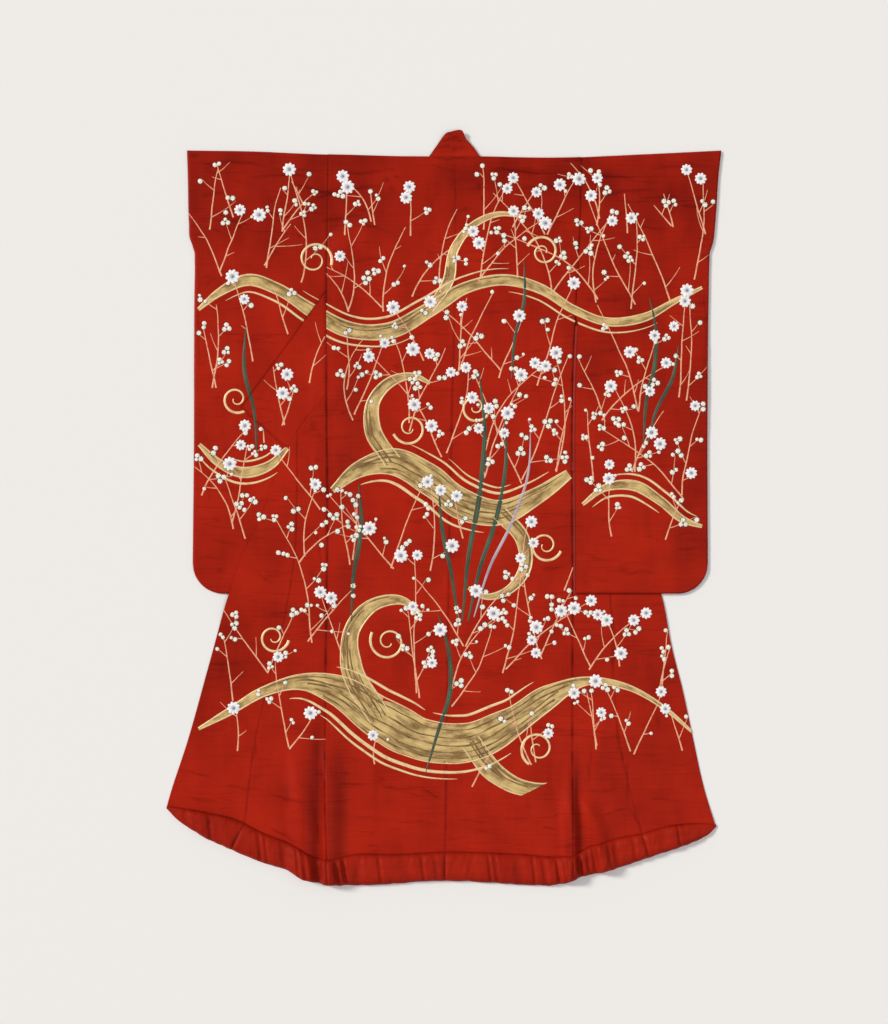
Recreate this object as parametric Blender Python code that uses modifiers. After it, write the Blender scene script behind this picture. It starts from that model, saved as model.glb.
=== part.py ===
"""A long-sleeved kimono with a wadded hem, laid out on the floor with its back up.

The picture of it is seen straight from above: +X is to the right, +Y runs from the hem to the
collar, +Z is up. The left front lies over the left sleeve. The right sleeve lies over the right
front. The upper ends of both fronts, and most of the collar, are under the back.
Tables are in millimetres, measured across from the neck and down from the shoulder line.
"""
import bmesh
import bpy
import numpy as np

MM = 0.001

# Walls and clearances
CLOTH = 1.6 * MM
COLLAR_WALL = 2.0 * MM
SEAM_GAP = 0.3 * MM
LAYER_GAP = 0.8 * MM
SLEEVE_DEPTH = 2 * CLOTH + COLLAR_WALL + 2 * LAYER_GAP

# Sleeves, laid flat as bags that are open at the wrist and along the body
SLEEVE_BOTTOM = 1063 * MM
SLEEVE_CORNER = 74 * MM
WRIST_OPENING = 225 * MM
LINING_SHOWS = 6.6 * MM
LINING_CLEAR = 1.2 * MM
LINING_TOP = 412 * MM
SET_BACK_OVER = 30 * MM
LOOSE_FROM = 505 * MM

# A layer that lies on another keeps its height this far past the edge, then sinks to the floor
LIFT_MARGIN = 16 * MM
SLEEVE_MARGIN = 45 * MM
LIFT_RAMP = 80 * MM
# and stands this much clearer of what it lies on where that is not flat
SPRING = 1.12

# The wadded hem, and how it thins towards the front edges
HEM_CROWN = 17 * MM
HEM_FULL_WIDTH = 58 * MM
HEM_THINNEST = 0.12

# The collar rolls up off the floor behind the neck
NECK_RISE = 9 * MM
NECK_START = 14 * MM
NECK_TOP = 58 * MM

# How far beside a step or fold the cells are made finer, and where the left sleeve's step is
COLLAR_MARGIN = 50 * MM
BELOW_NECK = 30 * MM
HEM_MARGIN = 50 * MM
FOLD_MARGIN = 12 * MM
FOLD_LEAD = 20 * MM
SLEEVE_STEP_WIDTH = 100 * MM
SLEEVE_STEP_FROM = 200 * MM
SLEEVE_STEP_TO = 1170 * MM

# A plan is settled by repeated steps, and a point this near to a side of its square is on it
SETTLING_STEPS = 40
ON_SIDE = 0.001


def soft_step(t):
    """0 below 0, 1 above 1, and a smooth rise between them."""
    t = np.clip(t, 0, 1)
    return t * t * (3 - 2 * t)


def curve(rows):
    """A smooth line through a table of (position, value) rows in millimetres."""
    position, value = np.array(rows, float).T * MM
    slope = np.gradient(value, position)

    def at(where):
        where = np.clip(where, position[0], position[-1])
        i = np.clip(np.searchsorted(position, where) - 1, 0, len(position) - 2)
        span = position[i + 1] - position[i]
        t = (where - position[i]) / span
        start = value[i] * (1 + 2 * t) * (1 - t) ** 2 + slope[i] * span * t * (1 - t) ** 2
        end = value[i + 1] * t * t * (3 - 2 * t) + slope[i + 1] * span * t * t * (t - 1)
        return start + end

    return at


# Lengthwise seams and edges: (down, across)
SIDE_LEFT = curve([(-15, -297), (348, -301), (835, -298), (1708, -300), (1772, -297)])
SIDE_RIGHT = curve([(-15, 319), (324, 309), (397, 304), (1064, 298), (1765, 298)])
CENTRE = curve([(0, 15), (275, 12), (835, 0), (1692, -12), (1757, -13)])
SLEEVE_LEFT = curve([(-15, -640), (46, -638), (163, -635), (202, -632), (212, -628), (222, -625),
                     (231, -622), (252, -621), (340, -622), (689, -623), (981, -626)])
SLEEVE_RIGHT = curve([(-15, 660), (46, 653), (124, 648), (185, 643), (202, 641), (221, 636),
                      (232, 632), (252, 631), (340, 629), (480, 627), (689, 626), (981, 627)])
OVERLAP_LEFT = curve([(665, -372), (835, -372), (980, -379), (1110, -400), (1237, -431),
                      (1412, -473), (1619, -500)])
OVERLAP_RIGHT = curve([(665, 374), (835, 379), (981, 385), (1098, 391), (1281, 398), (1505, 428),
                       (1646, 467)])
EDGE_LEFT = curve([(706, -402), (774, -426), (884, -463), (962, -502), (1064, -538), (1244, -589),
                   (1419, -638), (1565, -685), (1580, -689)])
EDGE_RIGHT = curve([(706, 404), (774, 433), (884, 463), (1018, 499), (1064, 514), (1186, 538),
                    (1302, 567), (1419, 592), (1536, 618), (1629, 646)])
HIDDEN_LEFT = curve([(0, -50), (200, -110), (480, -222), (665, -284), (762, -300)])
HIDDEN_RIGHT = curve([(0, 78), (200, 130), (480, 232), (665, 284), (762, 300)])

# Crosswise seams and edges: (across, down)
SHOULDER = curve([(-640, -15), (-458, -12), (-355, -7), (-253, -5), (-117, -1), (88, 0), (258, 2),
                  (394, -2), (497, -7), (660, -15)])
HEM_SEAM = curve([(-689, 1580), (-592, 1595), (-511, 1616), (-470, 1638), (-368, 1680),
                  (-326, 1703), (-299, 1708), (-236, 1698), (-122, 1697), (-12, 1691), (173, 1697),
                  (273, 1702), (298, 1698), (346, 1675), (407, 1658), (467, 1646), (528, 1629),
                  (592, 1622), (646, 1624)])
HEM_EDGE = curve([(-690, 1586), (-662, 1614), (-628, 1637), (-594, 1657), (-526, 1688),
                  (-458, 1716), (-390, 1738), (-355, 1757), (-321, 1766), (-253, 1771),
                  (-151, 1769), (-82, 1764), (-13, 1761), (60, 1763), (122, 1767), (200, 1771),
                  (258, 1771), (297, 1760), (326, 1750), (375, 1738), (409, 1729), (477, 1706),
                  (545, 1685), (579, 1672), (613, 1658), (634, 1644), (648, 1630)])

# The collar from its left end round the neck to its right end:
# (outer edge across, outer edge down, inner edge across, inner edge down)
COLLAR = [
    (-509, 611, -402, 706),
    (-402, 464, -299, 565),
    (-304, 329, -190, 416),
    (-180, 160, -90, 225),
    (-72, 28, -30, 110),
    (-44, -3, -12, 84),
    (-30, -28, -3, 74),
    (-14, -52, 4, 70),
    (0, -59, 10, 69),
    (27, -63, 16, 69),
    (39, -43, 22, 70),
    (56, -24, 30, 74),
    (73, 0, 40, 84),
    (98, 32, 60, 112),
    (210, 170, 112, 245),
    (312, 329, 196, 424),
    (405, 464, 300, 565),
    (500, 611, 404, 706),
]

# Large folds that stand off the floor: (from across, from down, to across, to down, width on the
# left, width on the right, height), and the share of its length over which each rises
FOLDS = [
    (-364, 1390, -354, 1790, 46, 42, 12),
    (-302, 1370, -299, 1800, 20, 56, 14),
    (291, 1450, 296, 1780, 30, 24, 11),
    (324, 1540, 364, 1700, 18, 44, 11),
]
FOLD_RISE = 0.45

# Where the seams across the wadded hem meet its upper seam and its edge
HEM_SEAMS = [(-689, -690), (-500, -533), (-300, -297), (-12, -13), (298, 298), (467, 483),
             (646, 648)]

# Gathers pulled into the wadded hem: (across, half width, depth as a share of the crown)
GATHERS = [
    (-640, 12, 0.4), (-575, 14, 0.5), (-462, 15, 0.6), (-404, 12, 0.35), (-326, 13, 0.7),
    (-274, 10, 0.7), (-222, 14, 0.45), (-170, 11, 0.3), (-121, 15, 0.4), (-66, 11, 0.3),
    (54, 13, 0.35), (112, 10, 0.3), (168, 15, 0.4), (231, 11, 0.35), (272, 10, 0.5),
    (314, 11, 0.7), (352, 12, 0.5), (404, 12, 0.4), (448, 11, 0.45), (520, 13, 0.5),
    (572, 12, 0.35), (612, 10, 0.4),
]

# How the padding swells from the seam, 0, to the edge of the hem, 1, in thousandths
SWELL = curve([(0, 0), (90, 330), (300, 800), (560, 1000), (800, 860), (930, 560), (1000, 230)])


def sleeve_inner_right(down):
    """The inner edge of the right sleeve. It is set back where the lining shows."""
    back = soft_step(1 - (LINING_TOP - down) / SET_BACK_OVER)
    return SIDE_RIGHT(down) + (LINING_CLEAR + LINING_SHOWS) * back


def side_by_side(first, second, split):
    """One edge that follows the first line above a height, and the second line below it."""
    return lambda down: np.where(down < split, first(down), second(down))


def straight(seam, read_by):
    """A straight edge between two (across, down) points, read by its distance across or down."""
    given = ("across", "down").index(read_by)
    rows = np.array(sorted(seam, key=lambda point: point[given])) * MM
    return lambda at: np.interp(at, rows[:, given], rows[:, 1 - given])


# The slanted seams between the collar and the fronts, and where each front leaves the back
SLANT_LEFT = ((-299, 565), (-402, 706))
SLANT_RIGHT = ((300, 565), (404, 706))
COLLAR_SEAM_LEFT = straight(SLANT_LEFT, "down")
COLLAR_SEAM_RIGHT = straight(SLANT_RIGHT, "down")
COLLAR_END = 706 * MM
UNDER_SLEEVE_END = 1200 * MM
CROSSING = 565 * MM
OVERLAP_START = 665 * MM
SIDE_SEAM_START = 762 * MM


def sleeve_bottom(edge, side):
    """The bottom of a sleeve, straight but for its round outer corner."""
    def at(across):
        outer = edge(SLEEVE_BOTTOM)
        from_corner = np.clip(SLEEVE_CORNER - (across - outer) * -side, 0, SLEEVE_CORNER)
        return SLEEVE_BOTTOM - SLEEVE_CORNER + np.sqrt(SLEEVE_CORNER ** 2 - from_corner ** 2)
    return at


def between(left, right, top, bottom):
    """Lays the unit square between four edges, half a seam's gap inside each of them."""
    inset = SEAM_GAP / 2

    def plan(u, v):
        across = np.zeros_like(u)
        for _ in range(SETTLING_STEPS):
            down = (1 - v) * (top(across) + inset) + v * (bottom(across) - inset)
            across = (1 - u) * (left(down) + inset) + u * (right(down) - inset)
        return across, down

    return plan


def along_hem(first, last):
    """Lays the unit square between the hem's seam and edge, from one cross seam to the next."""
    inset = SEAM_GAP / 2

    def plan(u, v):
        ends = np.array([HEM_SEAMS[first], HEM_SEAMS[last]]) * MM + np.array([[inset], [-inset]])
        at_seam, at_edge = (ends[0, i] + (ends[1, i] - ends[0, i]) * u for i in (0, 1))
        down = (1 - v) * (HEM_SEAM(at_seam) + inset) + v * HEM_EDGE(at_edge)
        return at_seam + (at_edge - at_seam) * v, down

    return plan


def along_collar(u, v):
    """Lays the unit square along the collar's sections, from its outer to its inner edge."""
    rows = np.array(COLLAR, float)
    station = np.linspace(0, 1000, len(rows))
    edges = [curve(np.column_stack((station, column))) for column in rows.T]
    outer_across, outer_down, inner_across, inner_down = (edge(u) for edge in edges)
    inset = SEAM_GAP / 2 * (1 - 2 * v)
    return (outer_across + (inner_across - outer_across) * v,
            outer_down + (inner_down - outer_down) * v + inset)


def outline(plan, steps=24):
    """The outline of a laid piece, as points across and down."""
    t = np.linspace(0, 1, steps, endpoint=False)
    ends = np.zeros(steps)
    u = np.concatenate((t, ends + 1, 1 - t, ends))
    v = np.concatenate((ends, t, ends + 1, 1 - t))
    return np.column_stack(plan(u, v))


def area_between(left, right, top, bottom, steps=16):
    """The outline of what lies between two lengthwise lines, from one height to another."""
    down = np.linspace(top, bottom, steps)
    near = np.column_stack((left(down), down))
    far = np.column_stack((right(down), down))
    return np.vstack((near, far[::-1]))


def distance_outside(area, across, down):
    """How far points lie outside an outline. It is 0 inside."""
    start = area[None, :, :]
    end = np.roll(area, -1, axis=0)[None, :, :]
    point = np.column_stack((across, down))[:, None, :]
    along = end - start
    t = ((point - start) * along).sum(2) / (along ** 2).sum(2)
    nearest = start + np.clip(t, 0, 1)[:, :, None] * along
    distance = np.linalg.norm(point - nearest, axis=2).min(1)
    crosses = (start[:, :, 1] > point[:, :, 1]) != (end[:, :, 1] > point[:, :, 1])
    rise = np.where(along[:, :, 1] == 0, 1, along[:, :, 1])
    meets = start[:, :, 0] + (point[:, :, 1] - start[:, :, 1]) * along[:, :, 0] / rise
    inside = (crosses & (point[:, :, 0] < meets)).sum(1) % 2 == 1
    return np.where(inside, 0, distance)


def lift(area, height, across, down, margin=LIFT_MARGIN):
    """The height that cloth keeps over an area, sinking softly beside it."""
    return height * soft_step(1 - (distance_outside(area, across, down) - margin) / LIFT_RAMP)


def folds(across, down):
    """The height of the large folds: each is a round ridge, and one of its sides is steeper."""
    height = np.zeros_like(across)
    for from_across, from_down, to_across, to_down, left, right, top in np.array(FOLDS) * MM:
        t = (down - from_down) / (to_down - from_down)
        aside = across - from_across - (to_across - from_across) * t
        width = np.where(aside < 0, left, right)
        round_top = np.clip(1 - (aside / width) ** 2, 0, 1) ** 2
        height = np.maximum(height, top * round_top * soft_step(t / FOLD_RISE))
    return height


# The pieces as they lie
BACK_LEFT = between(SIDE_LEFT, CENTRE, SHOULDER, HEM_SEAM)
BACK_RIGHT = between(CENTRE, SIDE_RIGHT, SHOULDER, HEM_SEAM)
FRONT_LEFT = between(
    side_by_side(lambda down: SIDE_LEFT(down) + SEAM_GAP,
                 side_by_side(COLLAR_SEAM_LEFT, OVERLAP_LEFT, OVERLAP_START), CROSSING),
    side_by_side(HIDDEN_LEFT, SIDE_LEFT, SIDE_SEAM_START), SHOULDER, HEM_SEAM)
FRONT_RIGHT = between(
    side_by_side(HIDDEN_RIGHT, SIDE_RIGHT, SIDE_SEAM_START),
    side_by_side(lambda down: SIDE_RIGHT(down) - SEAM_GAP,
                 side_by_side(COLLAR_SEAM_RIGHT, OVERLAP_RIGHT, OVERLAP_START), CROSSING),
    SHOULDER, HEM_SEAM)
OVER_LEFT = between(EDGE_LEFT, OVERLAP_LEFT, straight(SLANT_LEFT, "across"), HEM_SEAM)
OVER_RIGHT = between(OVERLAP_RIGHT, EDGE_RIGHT, straight(SLANT_RIGHT, "across"), HEM_SEAM)
LINING = between(lambda down: SIDE_RIGHT(down) + LINING_CLEAR,
                 lambda down: sleeve_inner_right(down) - SEAM_GAP,
                 lambda across: LINING_TOP + 0 * across, lambda across: SLEEVE_BOTTOM + 0 * across)

# The areas where one piece lies on another
LOOSE_SLEEVE = area_between(SLEEVE_LEFT, SIDE_LEFT, LOOSE_FROM, SLEEVE_BOTTOM)
WHOLE_SLEEVE = area_between(SLEEVE_LEFT, SIDE_LEFT, 0, SLEEVE_BOTTOM)
HIDDEN_FRONT_LEFT = area_between(SIDE_LEFT, HIDDEN_LEFT, 0, SIDE_SEAM_START)
HIDDEN_FRONT_RIGHT = area_between(HIDDEN_RIGHT, SIDE_RIGHT, 0, SIDE_SEAM_START)
COLLAR_AREA = outline(along_collar, 60)
COLLAR_END_RIGHT = np.array([(309, 325), (500, 611), (404, 706), (300, 565)]) * MM
UNDER_SLEEVE = area_between(SIDE_RIGHT, side_by_side(COLLAR_SEAM_RIGHT, EDGE_RIGHT, COLLAR_END),
                            CROSSING, UNDER_SLEEVE_END)


def over_left_sleeve(across, down):
    lifted = lift(LOOSE_SLEEVE, SLEEVE_DEPTH + LAYER_GAP, across, down)
    return np.maximum(lifted, folds(across, down))


def collar_height(across, down):
    on_sleeve = lift(WHOLE_SLEEVE, SLEEVE_DEPTH + LAYER_GAP, across, down)
    on_left = lift(HIDDEN_FRONT_LEFT, SPRING * over_left_sleeve(across, down) + CLOTH + LAYER_GAP,
                   across, down)
    on_right = lift(HIDDEN_FRONT_RIGHT, CLOTH + LAYER_GAP, across, down)
    neck = np.clip((-down - NECK_START) / (NECK_TOP - NECK_START), 0, 1)
    return np.maximum(np.maximum(on_sleeve, on_left), on_right) + NECK_RISE * neck * neck


def back_height(across, down):
    on_left = lift(HIDDEN_FRONT_LEFT, SPRING * over_left_sleeve(across, down) + CLOTH + LAYER_GAP,
                   across, down)
    on_right = lift(HIDDEN_FRONT_RIGHT, CLOTH + LAYER_GAP, across, down)
    below = collar_height(across, np.maximum(down, 0))
    spring = (SPRING - 1) * np.maximum(below - CLOTH - LAYER_GAP, 0)
    on_collar = lift(COLLAR_AREA, below + spring + COLLAR_WALL + LAYER_GAP, across, down)
    return np.max((on_left, on_right, on_collar, over_left_sleeve(across, down)), axis=0)


def right_sleeve_height(across, down):
    on_front = lift(UNDER_SLEEVE, CLOTH + LAYER_GAP, across, down, SLEEVE_MARGIN)
    on_collar = lift(COLLAR_END_RIGHT, collar_height(across, down) + COLLAR_WALL + LAYER_GAP,
                     across, down, SLEEVE_MARGIN)
    return np.maximum(on_front, on_collar)


def hem_top(u, v, across, down):
    """The upper side of the wadded hem: it swells between its edges and is pulled in by gathers."""
    width = HEM_EDGE(across) - HEM_SEAM(across)
    crown = HEM_CROWN * np.clip(width / HEM_FULL_WIDTH, HEM_THINNEST, 1)
    for at, half_width, depth in GATHERS:
        notch = np.clip(1 - ((across - at * MM) / (half_width * MM)) ** 2, 0, 1) ** 2
        crown = crown * (1 - depth * notch)
    return CLOTH + folds(across, down) + crown * SWELL(v)


def towards_wrist(plan, side):
    """Draws the columns of a sleeve together at its outer edge, where its corner is round."""
    def drawn(u, v):
        u = np.clip(u, 0, 1)
        return plan(np.sin(u * np.pi / 2) if side > 0 else 1 - np.cos(u * np.pi / 2), v)
    return drawn


BAG_LEFT = towards_wrist(between(SLEEVE_LEFT, SIDE_LEFT, SHOULDER,
                                 sleeve_bottom(SLEEVE_LEFT, -1)), -1)
BAG_RIGHT = towards_wrist(between(sleeve_inner_right, SLEEVE_RIGHT, SHOULDER,
                                  sleeve_bottom(SLEEVE_RIGHT, 1)), 1)


def slab(columns, rows):
    """A flat grid on the unit square, one cell for each column and row."""
    mesh = bmesh.new()
    bmesh.ops.create_grid(mesh, x_segments=columns, y_segments=rows, size=0.5)
    bmesh.ops.translate(mesh, verts=mesh.verts, vec=(0.5, 0.5, 0))
    return mesh


def refine(mesh, plan, wanted, crosswise_only=False):
    """Splits the cells where a fold or a step needs more points."""
    edges = list(mesh.edges)
    middle = np.array([((e.verts[0].co + e.verts[1].co) / 2)[:2] for e in edges])
    chosen = wanted(*plan(middle[:, 0], middle[:, 1]))
    picked = []
    for edge, choice in zip(edges, chosen):
        run = edge.verts[0].co - edge.verts[1].co
        if choice and not (crosswise_only and abs(run.x) < abs(run.y)):
            picked.append(edge)
    bmesh.ops.subdivide_edges(mesh, edges=picked, cuts=1, use_grid_fill=True)


def near_folds(across, down):
    """Where the large folds are."""
    found = np.zeros(len(across), bool)
    for from_across, from_down, to_across, to_down, left, right, _ in np.array(FOLDS) * MM:
        t = np.clip((down - from_down) / (to_down - from_down), 0, 1)
        aside = across - from_across - t * (to_across - from_across)
        beside = (aside > -left - FOLD_MARGIN) & (aside < right + FOLD_MARGIN)
        found |= beside & (down > from_down - FOLD_LEAD)
    return found


def near_hem(across, down):
    return down > HEM_SEAM(across) - HEM_MARGIN


def lay(name, mesh, plan, under, over, colour, openings=None):
    """Thickens the grid, lays it in its place and makes it an object."""
    grown = bmesh.ops.extrude_face_region(mesh, geom=list(mesh.faces))["geom"]
    for vertex in grown:
        if isinstance(vertex, bmesh.types.BMVert):
            vertex.co.z = 1
    bmesh.ops.recalc_face_normals(mesh, faces=mesh.faces)
    vertices = list(mesh.verts)
    unit = np.array([vertex.co for vertex in vertices])
    across, down = plan(unit[:, 0], unit[:, 1])
    low = under(across, down)
    high = over(unit[:, 0], unit[:, 1], across, down)
    height = np.where(unit[:, 2] > 0.5, high, low)
    if openings:
        sides = [face for face in mesh.faces if openings(face, plan)]
        bmesh.ops.delete(mesh, geom=sides, context="FACES_ONLY")
    for vertex, x, y, z in zip(vertices, across, -down, height):
        vertex.co = (x, y, z)
    if mesh.calc_volume(signed=True) < 0:
        bmesh.ops.reverse_faces(mesh, faces=mesh.faces)
    data = bpy.data.meshes.new(name)
    mesh.to_mesh(data)
    mesh.free()
    data.materials.append(colour)
    piece = bpy.data.objects.new(name, data)
    garment.objects.link(piece)
    piece.parent = origin
    return piece


def panel(name, plan, height, columns, rows, colour, wall=CLOTH, steps=None):
    """A flat cut piece: one wall of cloth, its underside at the given height."""
    mesh = slab(columns, rows)
    if steps:
        refine(mesh, plan, steps)
    refine(mesh, plan, near_hem, crosswise_only=True)
    for _ in range(2):
        refine(mesh, plan, near_folds, crosswise_only=True)
    return lay(name, mesh, plan, height, lambda u, v, a, d: height(a, d) + wall, colour)


def hem_pad(name, first, last, columns, colour):
    """A stretch of the wadded hem: flat below, swelling above."""
    plan = along_hem(first, last)
    mesh = slab(columns, 7)
    refine(mesh, plan, near_folds, crosswise_only=True)
    return lay(name, mesh, plan, lambda a, d: 0 * a, hem_top, colour)


def sleeve(name, plan, height, side, columns, rows, colour, steps=None):
    """A flattened bag, open at the wrist and all along its inner side."""
    def is_open(face, plan):
        if abs(face.normal.z) > 0.5:
            return False
        middle = face.calc_center_median()
        at_left = middle.x < ON_SIDE
        at_right = middle.x > 1 - ON_SIDE
        at_body, at_wrist = (at_right, at_left) if side < 0 else (at_left, at_right)
        down = plan(np.array([middle.x]), np.array([middle.y]))[1][0]
        return at_body or (at_wrist and down < WRIST_OPENING)

    mesh = slab(columns, rows)
    if steps:
        refine(mesh, plan, steps)
    piece = lay(name, mesh, plan, height, lambda u, v, a, d: height(a, d) + SLEEVE_DEPTH,
                colour, is_open)
    wall = piece.modifiers.new("Cloth wall", "SOLIDIFY")
    wall.thickness = CLOTH
    wall.offset = -1
    wall.use_even_offset = True
    return piece


def cloth_colour(name, colour, roughness):
    material = bpy.data.materials.new(name)
    material.use_nodes = True
    shader = material.node_tree.nodes["Principled BSDF"]
    shader.inputs["Base Color"].default_value = (*colour, 1)
    shader.inputs["Roughness"].default_value = roughness
    shader.inputs["Metallic"].default_value = 0
    return material


for old in list(bpy.data.objects):
    bpy.data.objects.remove(old, do_unlink=True)
garment = bpy.data.collections.new("Kimono")
bpy.context.scene.collection.children.link(garment)
origin = bpy.data.objects.new("Kimono origin", None)
garment.objects.link(origin)

red_silk = cloth_colour("Red silk", (0.36, 0.017, 0.007), 0.5)
red_wadding = cloth_colour("Wadded red silk", (0.42, 0.03, 0.015), 0.55)
red_lining = cloth_colour("Red lining", (0.5, 0.06, 0.04), 0.55)


def near_collar(across, down):
    beside = distance_outside(COLLAR_AREA, across, down) < COLLAR_MARGIN
    return beside & (down > BELOW_NECK)


def near_sleeve_edge(across, down):
    beside = np.abs(across - SIDE_LEFT(down)) < SLEEVE_STEP_WIDTH
    return beside & (down > SLEEVE_STEP_FROM) & (down < SLEEVE_STEP_TO)


def back_steps(across, down):
    return near_collar(across, down) | near_sleeve_edge(across, down)


# Body panels
panel("back_left", BACK_LEFT, back_height, 8, 34, red_silk, steps=back_steps)
panel("back_right", BACK_RIGHT, back_height, 8, 34, red_silk, steps=near_collar)
panel("front_left", FRONT_LEFT, over_left_sleeve, 5, 34, red_silk, steps=near_sleeve_edge)
panel("front_right", FRONT_RIGHT, folds, 5, 30, red_silk)
panel("overlap_left", OVER_LEFT, over_left_sleeve, 4, 24, red_silk)
panel("overlap_right", OVER_RIGHT, folds, 4, 18, red_silk)

# Collar
collar_grid = slab(51, 4)
refine(collar_grid, along_collar, near_sleeve_edge)
lay("collar", collar_grid, along_collar, collar_height,
    lambda u, v, a, d: collar_height(a, d) + COLLAR_WALL, red_silk)

# Sleeves, and the lining that shows along the right one
sleeve("sleeve_left", BAG_LEFT, folds, -1, 8, 10, red_silk)
sleeve("sleeve_right", BAG_RIGHT, right_sleeve_height, 1, 9, 18, red_silk, steps=near_collar)
lay("sleeve_right_lining", slab(1, 20), LINING, right_sleeve_height,
    lambda u, v, a, d: right_sleeve_height(a, d) + CLOTH, red_lining)

# Wadded hem
hem_pad("hem_overlap_left", 0, 1, 8, red_wadding)
hem_pad("hem_front_left", 1, 2, 10, red_wadding)
hem_pad("hem_back_left", 2, 3, 16, red_wadding)
hem_pad("hem_back_right", 3, 4, 16, red_wadding)
hem_pad("hem_front_right", 4, 5, 10, red_wadding)
hem_pad("hem_overlap_right", 5, 6, 8, red_wadding)

# The origin is the middle of the outline, on the floor
bpy.context.view_layer.update()
corners = []
for piece in garment.objects:
    if piece.type == "MESH":
        corners += [tuple(piece.matrix_world @ vertex.co) for vertex in piece.data.vertices]
corners = np.array(corners)
middle = (corners.min(0) + corners.max(0)) / 2
origin.location = (-middle[0], -middle[1], -corners[:, 2].min())
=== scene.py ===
import math

import bmesh
import bpy
import numpy as np
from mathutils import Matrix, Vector
from mathutils.bvhtree import BVHTree


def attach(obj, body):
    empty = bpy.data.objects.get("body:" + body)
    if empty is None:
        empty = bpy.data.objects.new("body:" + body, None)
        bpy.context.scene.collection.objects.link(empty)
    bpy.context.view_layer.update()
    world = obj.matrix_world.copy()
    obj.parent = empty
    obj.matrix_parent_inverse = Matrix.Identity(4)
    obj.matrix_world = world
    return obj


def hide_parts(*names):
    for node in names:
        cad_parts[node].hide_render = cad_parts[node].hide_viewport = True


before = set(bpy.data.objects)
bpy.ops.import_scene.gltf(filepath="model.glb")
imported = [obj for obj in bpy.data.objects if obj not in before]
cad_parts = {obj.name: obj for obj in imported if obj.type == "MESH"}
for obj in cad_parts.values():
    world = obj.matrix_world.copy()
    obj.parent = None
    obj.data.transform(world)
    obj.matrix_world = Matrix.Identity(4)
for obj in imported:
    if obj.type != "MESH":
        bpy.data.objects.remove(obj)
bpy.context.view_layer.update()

MM = 0.001


# The view and the room. The garment lies with its back up on a plain pale floor, and is seen
# from straight above, as if it were pinned up and photographed square on.
EYE_HEIGHT = 4.2
FRAMED_HEIGHT = 2.493
PICTURE_MIDDLE = (0.0001, -0.0097)


def added(name, data):
    """A new object in the scene."""
    made = bpy.data.objects.new(name, data)
    bpy.context.scene.collection.objects.link(made)
    return made


def far_light(name, place, strength, softness, tint):
    """A wide, far studio light, so that the whole garment is lit alike."""
    lamp = bpy.data.lights.new(name, "SUN")
    lamp.energy, lamp.angle, lamp.color = strength, softness, tint
    lit = added(name, lamp)
    lit.location = place
    lit.rotation_euler = (-Vector(place)).to_track_quat("-Z", "Y").to_euler()


def set_sockets(node, **values):
    """Sets the sockets of a shader node by their names."""
    for socket, value in values.items():
        node.inputs[socket.replace("_", " ")].default_value = value
    return node


def new_material(name):
    """A new material, its nodes and its shader."""
    material = bpy.data.materials.new(name)
    material.use_nodes = True
    return material, material.node_tree, material.node_tree.nodes["Principled BSDF"]


camera = added("Camera", bpy.data.cameras.new("Camera"))
camera.location = (*PICTURE_MIDDLE, EYE_HEIGHT)
camera.data.sensor_width = 36
camera.data.lens = 36 * EYE_HEIGHT / FRAMED_HEIGHT
camera.data.clip_end = 20
bpy.context.scene.camera = camera
bpy.context.scene.view_settings.view_transform = "Standard"

far_light("Key light", (-2.6, 1.2, 1.75), 2.6, 0.22, (1, 0.97, 0.92))
far_light("Fill light", (1.6, -1.0, 3.4), 0.55, 0.6, (1, 0.98, 0.96))
room = bpy.data.worlds.new("Pale room")
room.use_nodes = True
set_sockets(room.node_tree.nodes["Background"], Color=(0.97, 0.97, 1, 1), Strength=0.44)
bpy.context.scene.world = room

bpy.ops.object.select_all(action="DESELECT")
bpy.ops.mesh.primitive_plane_add(size=9, location=(0, 0, -0.0006))
floor_plane = bpy.context.object
floor_plane.name = "Floor"
pale_floor, _, floor_look = new_material("Pale floor")
set_sockets(floor_look, Base_Color=(0.84, 0.83, 0.81, 1), Roughness=0.85)
floor_plane.data.materials.append(pale_floor)


# The left sleeve is a bag of red silk, cut as one long rectangle, folded at the shoulder and
# sewn down the wrist side and along its round bottom. It lies flat on the floor, it is open at
# the wrist and along the body, and the front of the garment covers a part of it.
CLOTH = 1.6 * MM
SILK = 1.0 * MM
LAYER_GAP = 0.8 * MM
COLLAR_WALL = 2.0 * MM
SLEEVE_DEPTH = 2 * CLOTH + COLLAR_WALL + 2 * LAYER_GAP
SLEEVE_BOTTOM = 1063 * MM
SLEEVE_CORNER = 74 * MM
SLEEVE_SILK = 0.6 * MM
ROUND_EDGE = 7 * MM
DEPTH_AT_SEAM = 2.1 * MM
FULL_DEPTH_FROM = 85 * MM
WRIST_OPENING = 225 * MM
ACROSS_AT_ORIGIN = 15.0 * MM
DOWN_AT_ORIGIN = 854.6 * MM
rng = np.random.default_rng(7)


def curve(rows):
    """A smooth line through a table of (position, value) rows in millimetres."""
    position, value = np.array(rows, float).T * MM
    slope = np.gradient(value, position)

    def at(where):
        where = np.clip(where, position[0], position[-1])
        i = np.clip(np.searchsorted(position, where) - 1, 0, len(position) - 2)
        span = position[i + 1] - position[i]
        t = (where - position[i]) / span
        start = value[i] * (1 + 2 * t) * (1 - t) ** 2 + slope[i] * span * t * (1 - t) ** 2
        end = value[i + 1] * t * t * (3 - 2 * t) + slope[i + 1] * span * t * t * (t - 1)
        return start + end

    return at


# Lengthwise edges: (down from the shoulder line, across from the neck)
SIDE_LEFT = curve([(-15, -297), (348, -301), (835, -298), (1708, -300), (1772, -297)])
SLEEVE_LEFT = curve([(-15, -640), (46, -638), (163, -635), (202, -632), (212, -628), (222, -625),
                     (231, -622), (252, -621), (340, -622), (689, -623), (981, -626)])
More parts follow.
